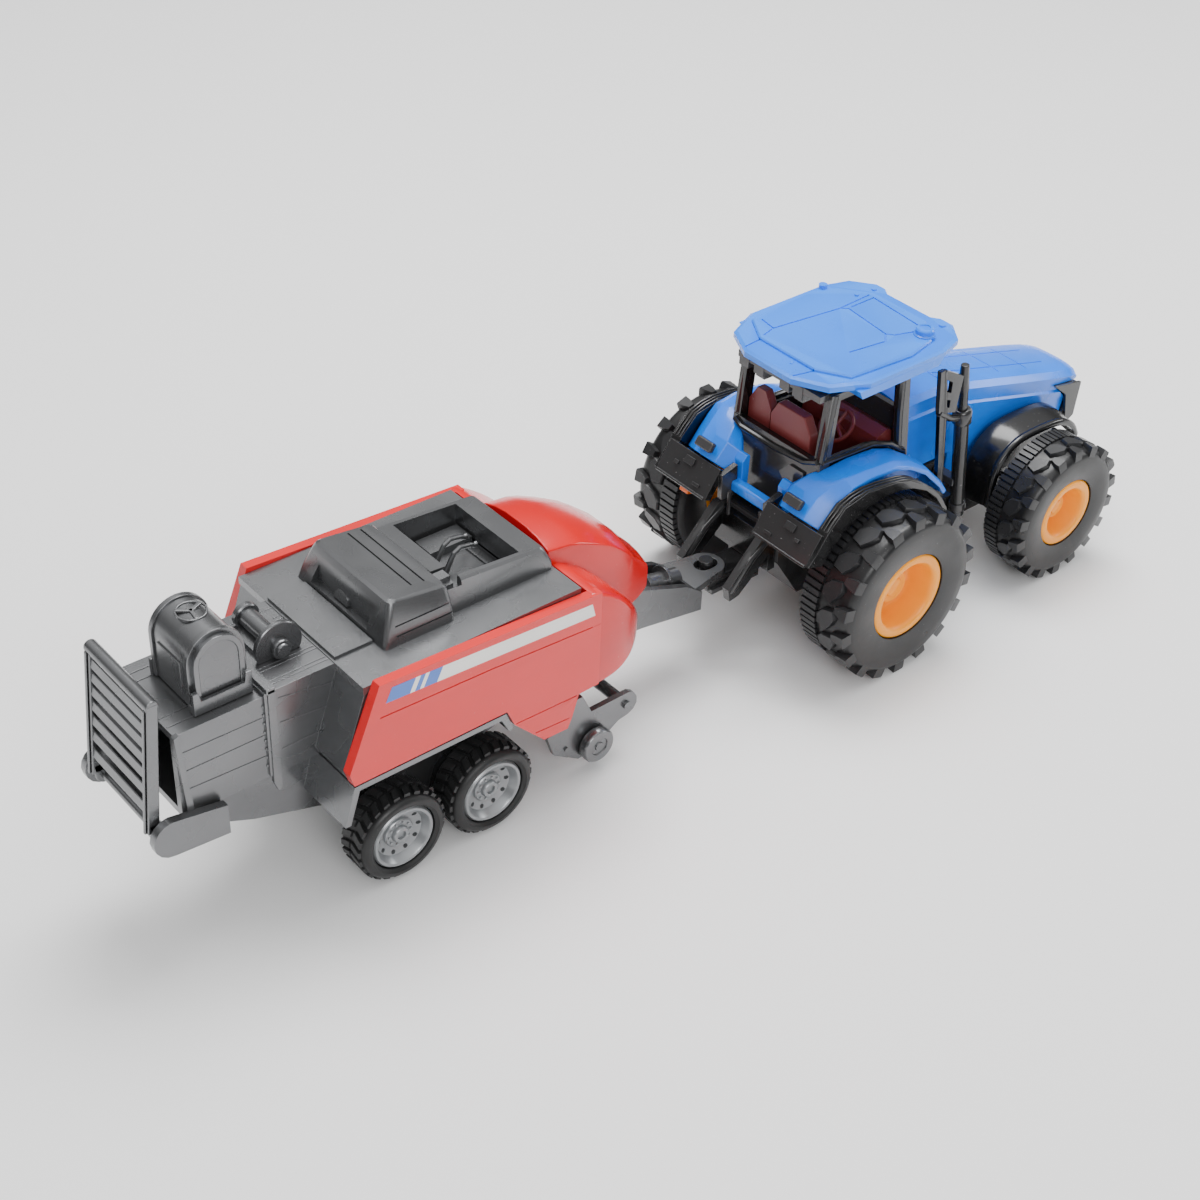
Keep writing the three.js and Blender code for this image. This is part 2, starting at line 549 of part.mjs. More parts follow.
// The chute: a ladder of rails between two uprights on a cross rod, folded up against the chamber.
const chuteX = (z) => CHUTE_PIVOT.x - 2.4 + (z - CHUTE_PIVOT.z) * 0.1;
const upright = plate([[chuteX(46) - 1.6, 46], [chuteX(46) + 2, 46], [chuteX(89.5) + 1.6, 89.5],
  [chuteX(89.5) - 1.6, 89.5]], 14, 16.6);
const rails = [54.5, 60.5, 65.8, 70.7, 75.6, 80.2, 84.6].map((z) => {
  const x = chuteX(z);
  return plate([[x - 1.3, z - 1.2], [x + 0.7, z - 1.2], [x + 0.9, z + 1.2], [x - 1.1, z + 1.2]], -15, 15);
});
add("bale_chute", union(
  bothSides(upright),
  barY(CHUTE_PIVOT.x, CHUTE_PIVOT.z, 1.5, -18.8, 18.8, 14),
  bothSides(plate([...arc(CHUTE_PIVOT.x, CHUTE_PIVOT.z, 2.8, 180, 360, 6), [chuteX(50) + 2, 50],
    [chuteX(50) - 1.6, 50]], 14, 16.6)),
  barY(chuteX(CHUTE_TOP), CHUTE_TOP, 2, -16.6, 16.6, 14),
  ...rails,
), GUNMETAL);

// ---------------------------------------------------------------- red panels and nose

const panelSide = [[-197.4, 79.8], [-208.2, 53.2], [-206.8, 48.7], [-154, 48.7], [-151.1, 42.3],
  [-140, 30.9], [-131, 30.6], [-129.5, 34], [-127, 42], [-118, 42.4], [-118, 76.2], [-121.5, 76.4]];
const panelInside = [[-201.5, 77.2], [-205, 50], [-156, 50], [-153, 44], [-140, 33], [-132, 33],
  [-127, 44.5], [-118, 44.5], [-118, 72.8]];

// The shoulder closes the front of a panel: its outer side curves in towards the nose.
const SHOULDER = [
  { x: -118.3, side: 35.4, top: 75.4, bottom: 42.2 }, { x: -115, side: 35.3, top: 73.2, bottom: 42 },
  { x: -110, side: 34.9, top: 69.6, bottom: 42.6 }, { x: -106, side: 33.9, top: 65.8, bottom: 44 },
  { x: -102.5, side: 32, top: 61.9, bottom: 46.2 }, { x: -99.5, side: 28.6, top: 58, bottom: 48.4 },
  { x: -97.6, side: 24.4, top: 55, bottom: 49.8 }, { x: -96.5, side: 20, top: 53, bottom: 51 },
];
const SHOULDER_HOLLOW = [{ ...SHOULDER[0], x: -120 }, ...SHOULDER.slice(1, 6)];

function shoulderRing({ x, side, top, bottom }, inset) {
  const inner = 16.6 + inset;
  const outer = Math.max(side - inset, inner + 0.4);
  const high = top - inset;
  const low = bottom + inset;
  const round = Math.min(3, (high - low) / 4);
  return [[inner, high], [outer - round * 2, high], [outer - 0.5, high - round], [outer, (high + low) / 2],
    [outer - 1, low + round], [outer - round * 2, low], [inner, low]].map(([y, z]) => [x, y, z]);
}

const shoulder = cut(
  skin(SHOULDER.map((ring) => shoulderRing(ring, 0)).reverse()),
  skin(SHOULDER_HOLLOW.map((ring) => shoulderRing(ring, 1.8)).reverse()),
);
addPair("side_panel", union(
  cut(plate(panelSide, PANEL.in, PANEL.out), plate(panelInside, PANEL.in - 1, PANEL.out - 1.8)),
  shoulder,
), RED);

const NOSE = [
  { x: -124, half: 16, top: 84.4, low: 48 }, { x: -111.5, half: 16, top: 82.4, low: 48 },
  { x: -100, half: 15.8, top: 77, low: 45 }, { x: -92, half: 15, top: 71, low: 44.4 },
  { x: -88.5, half: 14.2, top: 66.5, low: 44.4 }, { x: -81.5, half: 12, top: 60, low: 45 },
  { x: -80, half: 11.4, top: 58, low: 45.6 },
];

function noseRing({ x, half, top, low: foot }, inset) {
  const high = top - inset;
  const side = half - inset;
  const low = foot - inset * 2;
  const crease = low + (high - low) * 0.82;
  const ring = [[side - 0.8, low], [side, crease], [side - 3, high - 0.8], [side * 0.35, high + 0.4]];
  return [...ring, ...ring.map(([y, z]) => [-y, z]).reverse()].map(([y, z]) => [x, y, z]);
}

add("nose_hood", cut(
  skin(NOSE.map((ring) => noseRing(ring, 0))),
  skin(NOSE.slice(0, 6).map((ring, i) => noseRing({ ...ring, x: ring.x - (i ? 1 : 2) }, 1.8))),
), RED);

// ---------------------------------------------------------------- deck with its housing and bin

const HOUSING = { rear: -187.1, step: -162.4, front: -124.6, wide: 22.6, narrow: 19.6, wall: 2.1 };
const rectangle = (z, rear, front, half) => [[rear, -half, z], [front, -half, z], [front, half, z],
  [rear, half, z]];
const rearHood = skin([
  rectangle(DECK_Z - 1, HOUSING.rear, HOUSING.step, HOUSING.wide),
  rectangle(82.5, HOUSING.rear + 1.4, HOUSING.step, HOUSING.wide - 1.2),
  [[-182, -18.8, 91.2], [HOUSING.step, -17.6, 89], [HOUSING.step, 17.6, 89], [-182, 18.8, 91.2]],
]);
const frontHoodRear = HOUSING.step - 1;
const frontHood = skin([
  rectangle(DECK_Z - 1, frontHoodRear, HOUSING.front, HOUSING.narrow),
  [[frontHoodRear, -17.6, 87.9], [-127.2, -17, 85.5], [-127.2, 17, 85.5], [frontHoodRear, 17.6, 87.9]],
]);
const lever = (y) => union(
  strut([-151, y, 77], [-148.5, y, 84.5], 0.8, 0.8, 8),
  strut([-148.8, y, 84.2], [-140.5, y + 0.6, 82.6], 0.8, 0.7, 8),
);
const deckPlate = box(-197.2, HOUSING.front, -BETWEEN_PANELS, BETWEEN_PANELS, DECK_Z - 2.4, DECK_Z);
add("deck_housing", union(
  cut(
    union(deckPlate, box(-197.2, -187, -17.4, 17.4, DECK_Z - 1, DECK_Z + 0.8), rearHood, frontHood),
    box(-156.6, -134.6, -15.5, 15.5, DECK_Z - 1, 95),
    box(-181, HOUSING.step - HOUSING.wall, -16.5, 16.5, 70, 86.5),
  ),
  lever(3.2),
  lever(-1.6),
), GUNMETAL);

// ---------------------------------------------------------------- pickup

const pickupPlate = [[-131.2, 20.1], [-123.8, 21.3], [-119.8, 30], [-117.4, 30], [-113.7, 22.3],
  [-110.4, 22.3], ...arc(PICKUP_TIP.x, PICKUP_TIP.z, PICKUP_TIP.r, 105, -75, 6), [-102.3, 12.9],
  [-106.5, 10.1], [-108, 5.6], [-118.5, 5.3], [-128.2, 11.7]].reverse();
add("pickup_frame", cut(
  union(
    bothSides(plate(pickupPlate, PICKUP_Y - 1, PICKUP_Y + 1)),
    barY(PICKUP_TIP.x, PICKUP_TIP.z, 2, -PICKUP_Y, PICKUP_Y, 12),
    barY(-121, 17, 2.4, -PICKUP_Y, PICKUP_Y, 12),
    box(-125, -117, -7, 7, 16, 31 - GAP),
  ),
  bothSides(barY(GAUGE.x, GAUGE.z, 1.4, 20, 30, 12)),
  barZ(FRAME_SCREW_X, 0, SCREW.head + 0.6, 0, 40, 14),
), GUNMETAL);
addPair("gauge_wheel", union(
  barY(GAUGE.x, GAUGE.z, GAUGE.r, PICKUP_Y + 1 + GAP, PICKUP_Y + 4.8, 22),
  barY(GAUGE.x, GAUGE.z, 1, PICKUP_Y - 2, PICKUP_Y + 2, 12),
), GUNMETAL);

export default train;
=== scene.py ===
"""Looks of the toy tractor with its square baler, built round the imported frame.

Lengths below are in millimetres, measured from the point on the ground under the tractor's rear
axle: +X forward, +Y to the driver's left, +Z up. place() turns them into the frame's metres.
"""

from collections import namedtuple
from math import cos, pi, radians, sin

import bmesh
import bpy
from mathutils import Matrix, Vector


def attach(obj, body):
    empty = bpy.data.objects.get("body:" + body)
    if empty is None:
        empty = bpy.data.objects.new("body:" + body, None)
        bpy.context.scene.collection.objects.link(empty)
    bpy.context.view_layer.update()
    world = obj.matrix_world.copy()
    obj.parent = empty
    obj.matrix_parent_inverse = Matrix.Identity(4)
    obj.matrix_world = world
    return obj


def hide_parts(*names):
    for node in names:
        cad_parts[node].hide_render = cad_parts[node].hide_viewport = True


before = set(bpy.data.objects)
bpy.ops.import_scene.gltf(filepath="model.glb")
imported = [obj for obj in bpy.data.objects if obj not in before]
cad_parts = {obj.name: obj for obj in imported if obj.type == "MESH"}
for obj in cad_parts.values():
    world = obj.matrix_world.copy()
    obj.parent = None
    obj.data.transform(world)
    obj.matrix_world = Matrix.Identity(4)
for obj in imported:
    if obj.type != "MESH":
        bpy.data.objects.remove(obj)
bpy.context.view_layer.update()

AXLE_X = 66.0  # the rear axle's place in the frame
CORE = 0.05  # radius of the small flat at the middle of a turned solid
SIDES = ((1, "left"), (-1, "right"))


def place(point):
    return Vector(((point[0] + AXLE_X) / 1000, point[1] / 1000, point[2] / 1000))


# ---- materials

Look = namedtuple("Look", "material slot")  # a finish, and the record's slot that it belongs to


def set_range(ramp, *numbers):
    for key, number in zip(("From Min", "From Max", "To Min", "To Max"), numbers):
        ramp.inputs[key].default_value = number


class Nodes:
    """A node material being put together."""

    def __init__(self, name):
        self.material = bpy.data.materials.new(name)
        self.material.use_nodes = True
        self.tree = self.material.node_tree
        self.shader = self.tree.nodes["Principled BSDF"]
        self.where = self.tree.nodes.new("ShaderNodeTexCoord").outputs["Object"]

    def settings(self, values):
        """Fixed values for the shader's own sockets, which are returned."""
        for key, value in values.items():
            self.shader.inputs[key].default_value = value
        return self.shader.inputs

    def node(self, kind):
        return self.tree.nodes.new(kind)

    def link(self, out, into):
        self.tree.links.new(out, into)

    def noise(self, scale, detail, stretch=None):
        """Noise of about scale cells a metre, stretched by a factor for each axis."""
        texture = self.node("ShaderNodeTexNoise")
        texture.inputs["Scale"].default_value = scale
        texture.inputs["Detail"].default_value = detail
        where = self.where
        if stretch:
            mapping = self.node("ShaderNodeMapping")
            mapping.inputs["Scale"].default_value = stretch
            self.link(where, mapping.inputs["Vector"])
            where = mapping.outputs["Vector"]
        self.link(where, texture.inputs["Vector"])
        return texture.outputs["Fac"]

    def span(self, value, low, high, out_low, out_high):
        """The value's span from low to high, as a span from out_low to out_high."""
        ramp = self.node("ShaderNodeMapRange")
        set_range(ramp, low, high, out_low, out_high)
        self.link(value, ramp.inputs["Value"])
        return ramp.outputs["Result"]

    def mix(self, share, a, b):
        blend = self.node("ShaderNodeMix")
        blend.data_type = "RGBA"
        self.link(share, blend.inputs["Factor"])
        for value, into in ((a, blend.inputs["A"]), (b, blend.inputs["B"])):
            if isinstance(value, tuple):
                into.default_value = (*value, 1)
            else:
                self.link(value, into)
        return blend.outputs["Result"]

    def worn_edges(self, low, high, most):
        """How far a spot is on a handled edge, up to most."""
        return self.span(self.node("ShaderNodeNewGeometry").outputs["Pointiness"], low, high, 0, most)

    def bump(self, height, strength, distance, after=None):
        made = self.node("ShaderNodeBump")
        made.inputs["Strength"].default_value = strength
        made.inputs["Distance"].default_value = distance
        self.link(height, made.inputs["Height"])
        if after:
            self.link(after, made.inputs["Normal"])
        return made.outputs["Normal"]


def tint(color, factor):
    return tuple(min(1.0, c * factor) for c in color)


DUST, TYRE_DUST = (0.62, 0.62, 0.6), (0.4, 0.4, 0.39)


def moulded_plastic(name, slot, color, rough, coat=0.0, metallic=0.0, dust=0.25, grain=0.12, worn=1.25,
                    waves=0.12):
    """Injection-moulded plastic: faint flow marks, fine grain, handled edges, a few specks of dust."""
    n = Nodes(name)
    shader = n.settings({"Metallic": metallic, "Coat Weight": coat, "Coat Roughness": 0.08})
    flow = n.span(n.noise(38, 4, stretch=(1, 1, 2.2)), 0.35, 0.65, 0, 1)
    base = n.mix(flow, tint(color, 0.93), tint(color, 1.06))
    base = n.mix(n.worn_edges(0.52, 0.6, 0.55), base, tint(tuple(c + 0.02 for c in color), worn))
    specks = n.span(n.noise(1500, 2), 0.735, 0.76, 0, dust)
    n.link(n.mix(specks, base, DUST), shader["Base Color"])
    n.link(n.span(n.noise(70, 2), 0.3, 0.7, rough * 0.92, rough * 1.1), shader["Roughness"])
    uneven = n.bump(n.noise(60, 1), strength=waves, distance=0.00012)
    n.link(n.bump(n.noise(2600, 4), strength=grain, distance=0.00004, after=uneven), shader["Normal"])
    return Look(n.material, slot)


def metal_bar(name, slot, color, rough):
    """Drawn steel: fine lines along the bar and a little uneven polish."""
    n = Nodes(name)
    shader = n.settings({"Metallic": 1})
    lines = n.noise(900, 3, stretch=(1, 0.05, 1))
    n.link(n.mix(n.noise(70, 4), tint(color, 0.8), color), shader["Base Color"])
    n.link(n.span(lines, 0.3, 0.7, rough * 0.7, rough * 1.4), shader["Roughness"])
    n.link(n.bump(lines, strength=0.2, distance=0.00003), shader["Normal"])
    return Look(n.material, slot)


def tyre_plastic(name, slot, color, rough):
    """Soft satin tyre plastic: greyer where it is handled, with fine pores."""
    n = Nodes(name)
    shader = n.settings({"Specular IOR Level": 0.45})
    patches = n.span(n.noise(55, 5), 0.35, 0.7, 0, 1)
    base = n.mix(patches, tint(color, 0.85), tint(color, 1.25))
    base = n.mix(n.worn_edges(0.51, 0.58, 0.5), base, tint(color, 2.4))
    specks = n.span(n.noise(1700, 2), 0.74, 0.77, 0, 0.35)
    n.link(n.mix(specks, base, TYRE_DUST), shader["Base Color"])
    n.link(n.span(n.noise(160, 5), 0.3, 0.7, rough * 0.8, rough * 1.2), shader["Roughness"])
    n.link(n.bump(n.noise(3200, 4), strength=0.3, distance=0.00006), shader["Normal"])
    return Look(n.material, slot)


BLUE = moulded_plastic("gloss_blue", "body_blue", (0.0, 0.19, 0.9), 0.26, coat=0.08, dust=0.1)
BLACK = moulded_plastic("gloss_black", "trim_black", (0.005, 0.005, 0.0055), 0.2, coat=0.2, dust=0.3,
                        worn=4.0)
TYRE = tyre_plastic("tyre_black", "tyre_black", (0.011, 0.0112, 0.012), 0.34)
SMALL_TYRE = tyre_plastic("small_tyre_black", "tyre_black", (0.012, 0.0122, 0.0125), 0.44)
ORANGE = moulded_plastic("wheel_orange", "wheel_orange", (1.0, 0.33, 0.0), 0.36, dust=0.1)
MAROON = moulded_plastic("interior_maroon", "interior_maroon", (0.15, 0.018, 0.018), 0.38, grain=0.3)
RED = moulded_plastic("gloss_red", "baler_red", (0.6, 0.0, 0.001), 0.2, coat=0.2, dust=0.1)
GREY = moulded_plastic("metallic_grey", "baler_grey", (0.17, 0.173, 0.178), 0.27, metallic=0.85, dust=0.1,
                       grain=0.25, worn=1.2, waves=0.04)
SILVER = moulded_plastic("wheel_silver", "wheel_silver", (0.3, 0.31, 0.32), 0.32, metallic=0.65, grain=0.25)
LAMP = moulded_plastic("lamp_silver", "lamp_silver", (0.5, 0.51, 0.52), 0.25, metallic=0.6)
AMBER = moulded_plastic("amber_lens", "wheel_orange", (0.85, 0.13, 0.0), 0.2, coat=0.3)
NYLON = moulded_plastic("natural_nylon", None, (0.6, 0.58, 0.5), 0.45, grain=0.3)
DECAL_BLUE = moulded_plastic("printed_blue", "baler_red", (0.04, 0.13, 0.46), 0.3, coat=0.2, dust=0.1)
DECAL_WHITE = moulded_plastic("printed_white", "baler_red", (0.7, 0.69, 0.66), 0.3, coat=0.2, dust=0.1)
STEEL = metal_bar("drawn_steel", "steel", (0.6, 0.6, 0.61), 0.28)

# ---- shells: (points, faces)

MERGE_NODE, MERGE_SHELL = 2e-6, 1e-3  # nearer points are one: metres in a CAD node, millimetres in a shell


def skin(rings, closed=False):
    """Quads over rings of equal point count; the ends are capped, or joined if closed."""
    count = len(rings[0])
    points = [p for ring in rings for p in ring]
    faces = []
    for i in range(len(rings) if closed else len(rings) - 1):
        a, b = i * count, ((i + 1) % len(rings)) * count
        faces += [(a + k, a + (k + 1) % count, b + (k + 1) % count, b + k) for k in range(count)]
    if not closed:
        faces += [tuple(range(count))[::-1], tuple(range((len(rings) - 1) * count, len(rings) * count))]
    return points, faces


def prism(axis, outline, low, high):
    """An outline in the two other axes, pushed from low to high along axis."""
    order = {"x": lambda a, b, c: (c, a, b), "y": lambda a, b, c: (a, c, b), "z": lambda a, b, c: (a, b, c)}
    return skin([[order[axis](a, b, c) for a, b in outline] for c in (low, high)])


def box(x0, x1, y0, y1, z0, z1):
    return prism("z", [(x0, y0), (x1, y0), (x1, y1), (x0, y1)], z0, z1)


def arc(a, b, r, start, end, steps):
    turns = [radians(start + (end - start) * i / steps) for i in range(steps + 1)]
    return [(a + r * cos(t), b + r * sin(t)) for t in turns]


def circle(count):
    """Angles spread evenly round a full turn."""
    return [2 * pi * k / count for k in range(count)]


def turned(profile, x, z, sides, closed=True):
    """A profile of (radius, y) turned about the line along Y through x and z."""
    return skin([[(x + r * cos(t), y, z + r * sin(t)) for t in circle(sides)] for r, y in profile], closed)


def spun(profile, x, z, sides):
    """A profile of (radius, y) turned into a solid, its two ends filled in to the middle."""
    return turned([(CORE, profile[0][1]), *profile, (CORE, profile[-1][1])], x, z, sides, closed=False)


def rod(points, radii, sides=16):
    """A round bar along a path of points."""
    if not isinstance(radii, (list, tuple)):
        radii = [radii] * len(points)
    path = [Vector(p) for p in points]
    rings = []
    side = None
    for i, here in enumerate(path):
        way = (path[min(i + 1, len(path) - 1)] - path[max(i - 1, 0)]).normalized()
        if side is None:
            side = way.orthogonal().normalized()
        side = (side - way * side.dot(way)).normalized()
        up = way.cross(side)
        rings.append([tuple(here + (side * cos(t) + up * sin(t)) * radii[i]) for t in circle(sides)])
    return skin(rings)


def flipped(shell):
    """The same shell on the other side of the middle."""
    points, faces = shell
    return [(x, -y, z) for x, y, z in points], [f[::-1] for f in faces]


def both(*shells):
    return [s for shell in shells for s in (shell, flipped(shell))]


def on_side(sign, shells):
    """Shells made for the left side, mirrored where the sign is the right side's."""
    return shells if sign > 0 else [flipped(s) for s in shells]


def node_shell(node):
    """A CAD node's own shape, as a shell to work on."""
    mesh = bmesh.new()
    mesh.from_mesh(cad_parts[node].data)
    bmesh.ops.remove_doubles(mesh, verts=mesh.verts, dist=MERGE_NODE)
    bmesh.ops.dissolve_limit(mesh, angle_limit=radians(1.5), verts=mesh.verts, edges=mesh.edges)
    mesh.verts.index_update()
    points = [(v.co.x * 1000 - AXLE_X, v.co.y * 1000, v.co.z * 1000) for v in mesh.verts]
    faces = [tuple(v.index for v in f.verts) for f in mesh.faces]
    mesh.free()
    return points, faces


def add_object(name, data):
    made = bpy.data.objects.new(name, data)
    bpy.context.scene.collection.objects.link(made)
    return made


def solid_object(shell):
    """A shell as a temporary object in millimetres, its faces outward."""
    points, faces = shell
    mesh = bpy.data.meshes.new("work")
    mesh.from_pydata(points, [], faces)
    work = bmesh.new()
    work.from_mesh(mesh)
    bmesh.ops.recalc_face_normals(work, faces=work.faces)
    bmesh.ops.triangulate(work, faces=work.faces)
    work.to_mesh(mesh)
    work.free()
    return add_object("work", mesh)


def boolean(shell, others, operation="DIFFERENCE"):
    """The shell with the others cut away, or added."""
    target = solid_object(shell)
    tools = [solid_object(other) for other in others]
    for tool in tools:
        step = target.modifiers.new("step", "BOOLEAN")
        step.operation = operation
        step.solver = "MANIFOLD"
        step.object = tool
    shape = target.evaluated_get(bpy.context.evaluated_depsgraph_get()).to_mesh()
    work = bmesh.new()
    work.from_mesh(shape)
    bmesh.ops.remove_doubles(work, verts=work.verts, dist=MERGE_SHELL)
    bmesh.ops.dissolve_limit(work, angle_limit=radians(1), verts=work.verts, edges=work.edges)
    work.verts.index_update()
    result = [tuple(v.co) for v in work.verts], [tuple(v.index for v in f.verts) for f in work.faces]
    work.free()
    for used in (target, *tools):
        mesh = used.data
        bpy.data.objects.remove(used)
        bpy.data.meshes.remove(mesh)
    return result


def cut(shell, *tools):
    return boolean(shell, tools)


def joined(shell, *others):
    return boolean(shell, others, "UNION")


def piece(name, shells, look, body, nodes=(), bevel=0, steps=2, angle=30):
    """Shells as one object that rides on a body and stands for CAD nodes.

    Edges sharper than angle stay sharp, or are rounded by bevel in so many steps.
    """
    mesh = bpy.data.meshes.new(name)
    work = bmesh.new()
    for points, faces in shells:
        corners = [work.verts.new(place(p)) for p in points]
        for face in faces:
            work.faces.new([corners[k] for k in face])
    bmesh.ops.recalc_face_normals(work, faces=work.faces)
    for face in work.faces:
        face.smooth = True
    limit = radians(angle)
    for edge in work.edges:
        edge.smooth = len(edge.link_faces) == 2 and edge.calc_face_angle(0) < limit
    work.to_mesh(mesh)
    work.free()
    made = add_object(name, mesh)
    mesh.materials.append(look.material)
    if bevel:
        rounding = made.modifiers.new("rounding", "BEVEL")
        rounding.width = bevel / 1000
        rounding.segments = steps
        rounding.limit_method = "ANGLE"
        rounding.angle_limit = limit
        rounding.harden_normals = True
        rounding.miter_outer = "MITER_ARC"
    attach(made, body)
    if nodes:
        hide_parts(*nodes)


def part(name, node, look, body, adds=(), bevel=0.5, **how):
    """A moulded part: a CAD node's shape with details added on, its edges rounded."""
    piece(name, [node_shell(node), *adds], look, body, (node,), bevel, **how)


def groove(axis, start, end, width, low, high):
    """A straight slot between two points of the plane across axis."""
    a, b = Vector(start), Vector(end)
    along = (b - a).normalized() * width / 2
    side = Vector((-along.y, along.x))
    corners = [a - along - side, b + along - side, b + along + side, a - along + side]
    return prism(axis, [tuple(c) for c in corners], low, high)


def path_grooves(axis, points, width, low, high):
    return [groove(axis, a, b, width, low, high) for a, b in zip(points, points[1:])]


def rounded_path(points, steps=4):
    """A smooth curve through points (Catmull-Rom)."""
    ends = [points[0], *points, points[-1]]
    path = []
    for before, here, after, later in zip(ends, ends[1:], ends[2:], ends[3:]):
        for k in range(steps):
            t = k / steps
            path.append(tuple(0.5 * (2 * b + (c - a) * t + (2 * a - 5 * b + 4 * c - d) * t ** 2
                                     + (3 * b - a - 3 * c + d) * t ** 3)
                              for a, b, c, d in zip(before, here, after, later)))
    return path + [points[-1]]


def swept(path, section):
    """A strip along a path of (x, z, ...) running rearwards; each stop gives its (y, height) section."""
    rings = []
    for i, stop in enumerate(path):
        ahead = path[min(i + 1, len(path) - 1)]
        behind = path[max(i - 1, 0)]
        out = Vector((ahead[1] - behind[1], behind[0] - ahead[0])).normalized()
        rings.append([(stop[0] + out.x * h, y, stop[1] + out.y * h) for y, h in section(stop)])
    return skin(rings)


# ---- tractor wheels


def wrapped(outline, x, z, turn, low, high, top_inset):
    """A block on a wheel's tread: an outline of (arc length, y) standing from radius low to high."""
    middle = Vector((sum(p[0] for p in outline), sum(p[1] for p in outline))) / len(outline)
    rings = []
    for radius, inset in ((low, -0.25), (high - 0.7, 0), (high, top_inset)):
        ring = []
        for s, y in outline:
            away = Vector((s, y)) - middle
            point = middle + away * (1 - inset / max(away.length, 0.1))
            t = turn + point.x / high
            ring.append((x + radius * cos(t), point.y, z + radius * sin(t)))
        rings.append(ring)
    return skin(rings)


FRONT_X, FRONT_R = 87.3, 26.1  # the front axle's place and its wheels' radius
KNOBS = 18  # knobs and paddles round a tyre
# Tread blocks as (arc length, distance in from the tyre's outer side), for blocks at this pitch on a
# tyre of this width; other tyres scale them. RIBS holds the arc lengths of the ribs' middles.
DRAWN_PITCH, DRAWN_WIDTH = 10.8, 22.8
RIBS = [(k - 1.5) * 2.7 for k in range(4)]
KNOB = [(-2.3, 0.5), (2.3, 0.5), (2.1, 3.4), (1.1, 6.2), (-1.1, 6.2), (-2.1, 3.4)]
PADDLE = [(-4.5, 6.4), (-1.6, 5.2), (1.6, 6.4), (4.5, 8.6), (3.4, 13), (-0.4, 13.4), (-3.4, 11)]


def shoulders(root, soft, y0, y1):
    """The two rounded shoulders of a tyre's profile, the inner one rising and the outer one falling."""
    turns = [radians(a) for a in range(10, 91, 16)]
    return ([(root - soft + soft * sin(t), y0 + soft - soft * cos(t)) for t in turns],
            [(root - soft + soft * sin(t), y1 - soft + soft * cos(t)) for t in reversed(turns)])


def farm_tyre(name, node, body, x, radius, y0, y1, bead, lug, sign):
    """A wide farm tyre: knobs on the outer shoulder, flat paddles beside them, then fine ribs."""
    root = radius - lug
    rise, fall = shoulders(root, 3.4, y0, y1)
    profile = [(bead, y0 + 1.6), (bead + 2, y0 + 0.2), (root - 5.5, y0), *rise, (root + 0.3, (y0 + y1) / 2),
               *fall, (root - 5.5, y1), (bead + 3.6, y1 - 0.3), (bead + 1.3, y1 - 0.9),
               (bead + 0.9, y1 - 3.9), (bead, y1 - 4.9)]
    shells = [turned(profile, x, radius, 108)]
    pitch = 2 * pi * radius / KNOBS
    narrow, reach = pitch / DRAWN_PITCH, (y1 - y0) / DRAWN_WIDTH

    def block(turn, outline, low, high, inset):
        shape = [(s * narrow, y1 - y * reach) for s, y in outline]
        shells.append(wrapped(shape, x, radius, turn, low, high, inset))

    for turn in circle(KNOBS):
        block(turn + pi / KNOBS, KNOB, root - 3, radius, 0.3)
        block(turn, PADDLE, root - 0.5, radius - 0.2, 0.5)
        for s in RIBS:
            rib = [(s - 0.95, 14), (s + 0.95, 14), (s + 0.95, 21.2), (s - 0.95, 21.2)]
            block(turn, rib, root - 1.2, radius - 0.7, 0.12)
    piece(name, on_side(sign, shells), TYRE, body, (node,), angle=38)


def farm_rim(name, node, body, x, z, face, inner, lip, dish, depth, sign):
    """A deep dished wheel: a broad rounded lip, a tapering wall, and a stepped hub over the axle's end."""
    bore = 1.85
    floor_at = face - depth
    profile = [(bore, inner + 4), (bore, floor_at - 1.6), (dish - 3.6, floor_at - 1.2),
               (dish - 2.6, floor_at - 0.9), (dish - 2, floor_at - 0.2), (dish - 1.6, floor_at + 1.2),
               (dish - 0.3, face - 2), (dish, face - 0.9), (dish + 0.5, face - 0.25), (dish + 1.1, face),
               (lip - 1.2, face), (lip - 0.4, face - 0.25), (lip, face - 0.8), (lip, face - 2.4),
               (lip - 1.3, face - 3.6), (lip - 1.3, inner + 1.8), (lip - 2.6, inner + 1.8),
               (lip - 2.6, floor_at - 3.4), (bore + 2.2, floor_at - 3.8), (bore + 2.2, inner + 4)]
    boss = dish * 0.48
    top = floor_at + 2.4
    hub = [(boss + 0.3, floor_at - 1.3), (boss + 0.1, top - 0.5), (boss - 0.3, top), (boss * 0.62, top),
           (boss * 0.56, top + 0.5), (boss * 0.5, top + 0.6)]
    piece(name, on_side(sign, [turned(profile, x, z, 96), spun(hub, x, z, 64)]), ORANGE, body, (node,),
          angle=40)


for sign, side in SIDES:
    for spot, x, radius, y0, y1, bead, lug, rim in (
            ("rear", 0, 31, 30, 52.8, 14.7, 2, (51.9, 30, 15.7, 12.1, 9.4)),
            ("front", FRONT_X, FRONT_R, 29.5, 47.7, 11.9, 1.7, (46.8, 29.5, 12.9, 9.2, 7.4))):
        body = f"{spot}_wheels"
        farm_tyre(f"tyre_{spot}_{side}", f"{spot}_tyre_{side}", body, x, radius, y0, y1, bead, lug, sign)
        farm_rim(f"rim_{spot}_{side}", f"{spot}_rim_{side}", body, x, radius, *rim, sign)

# ---- baler wheels

ROAD_R = 15.4  # radius of the baler's tyres


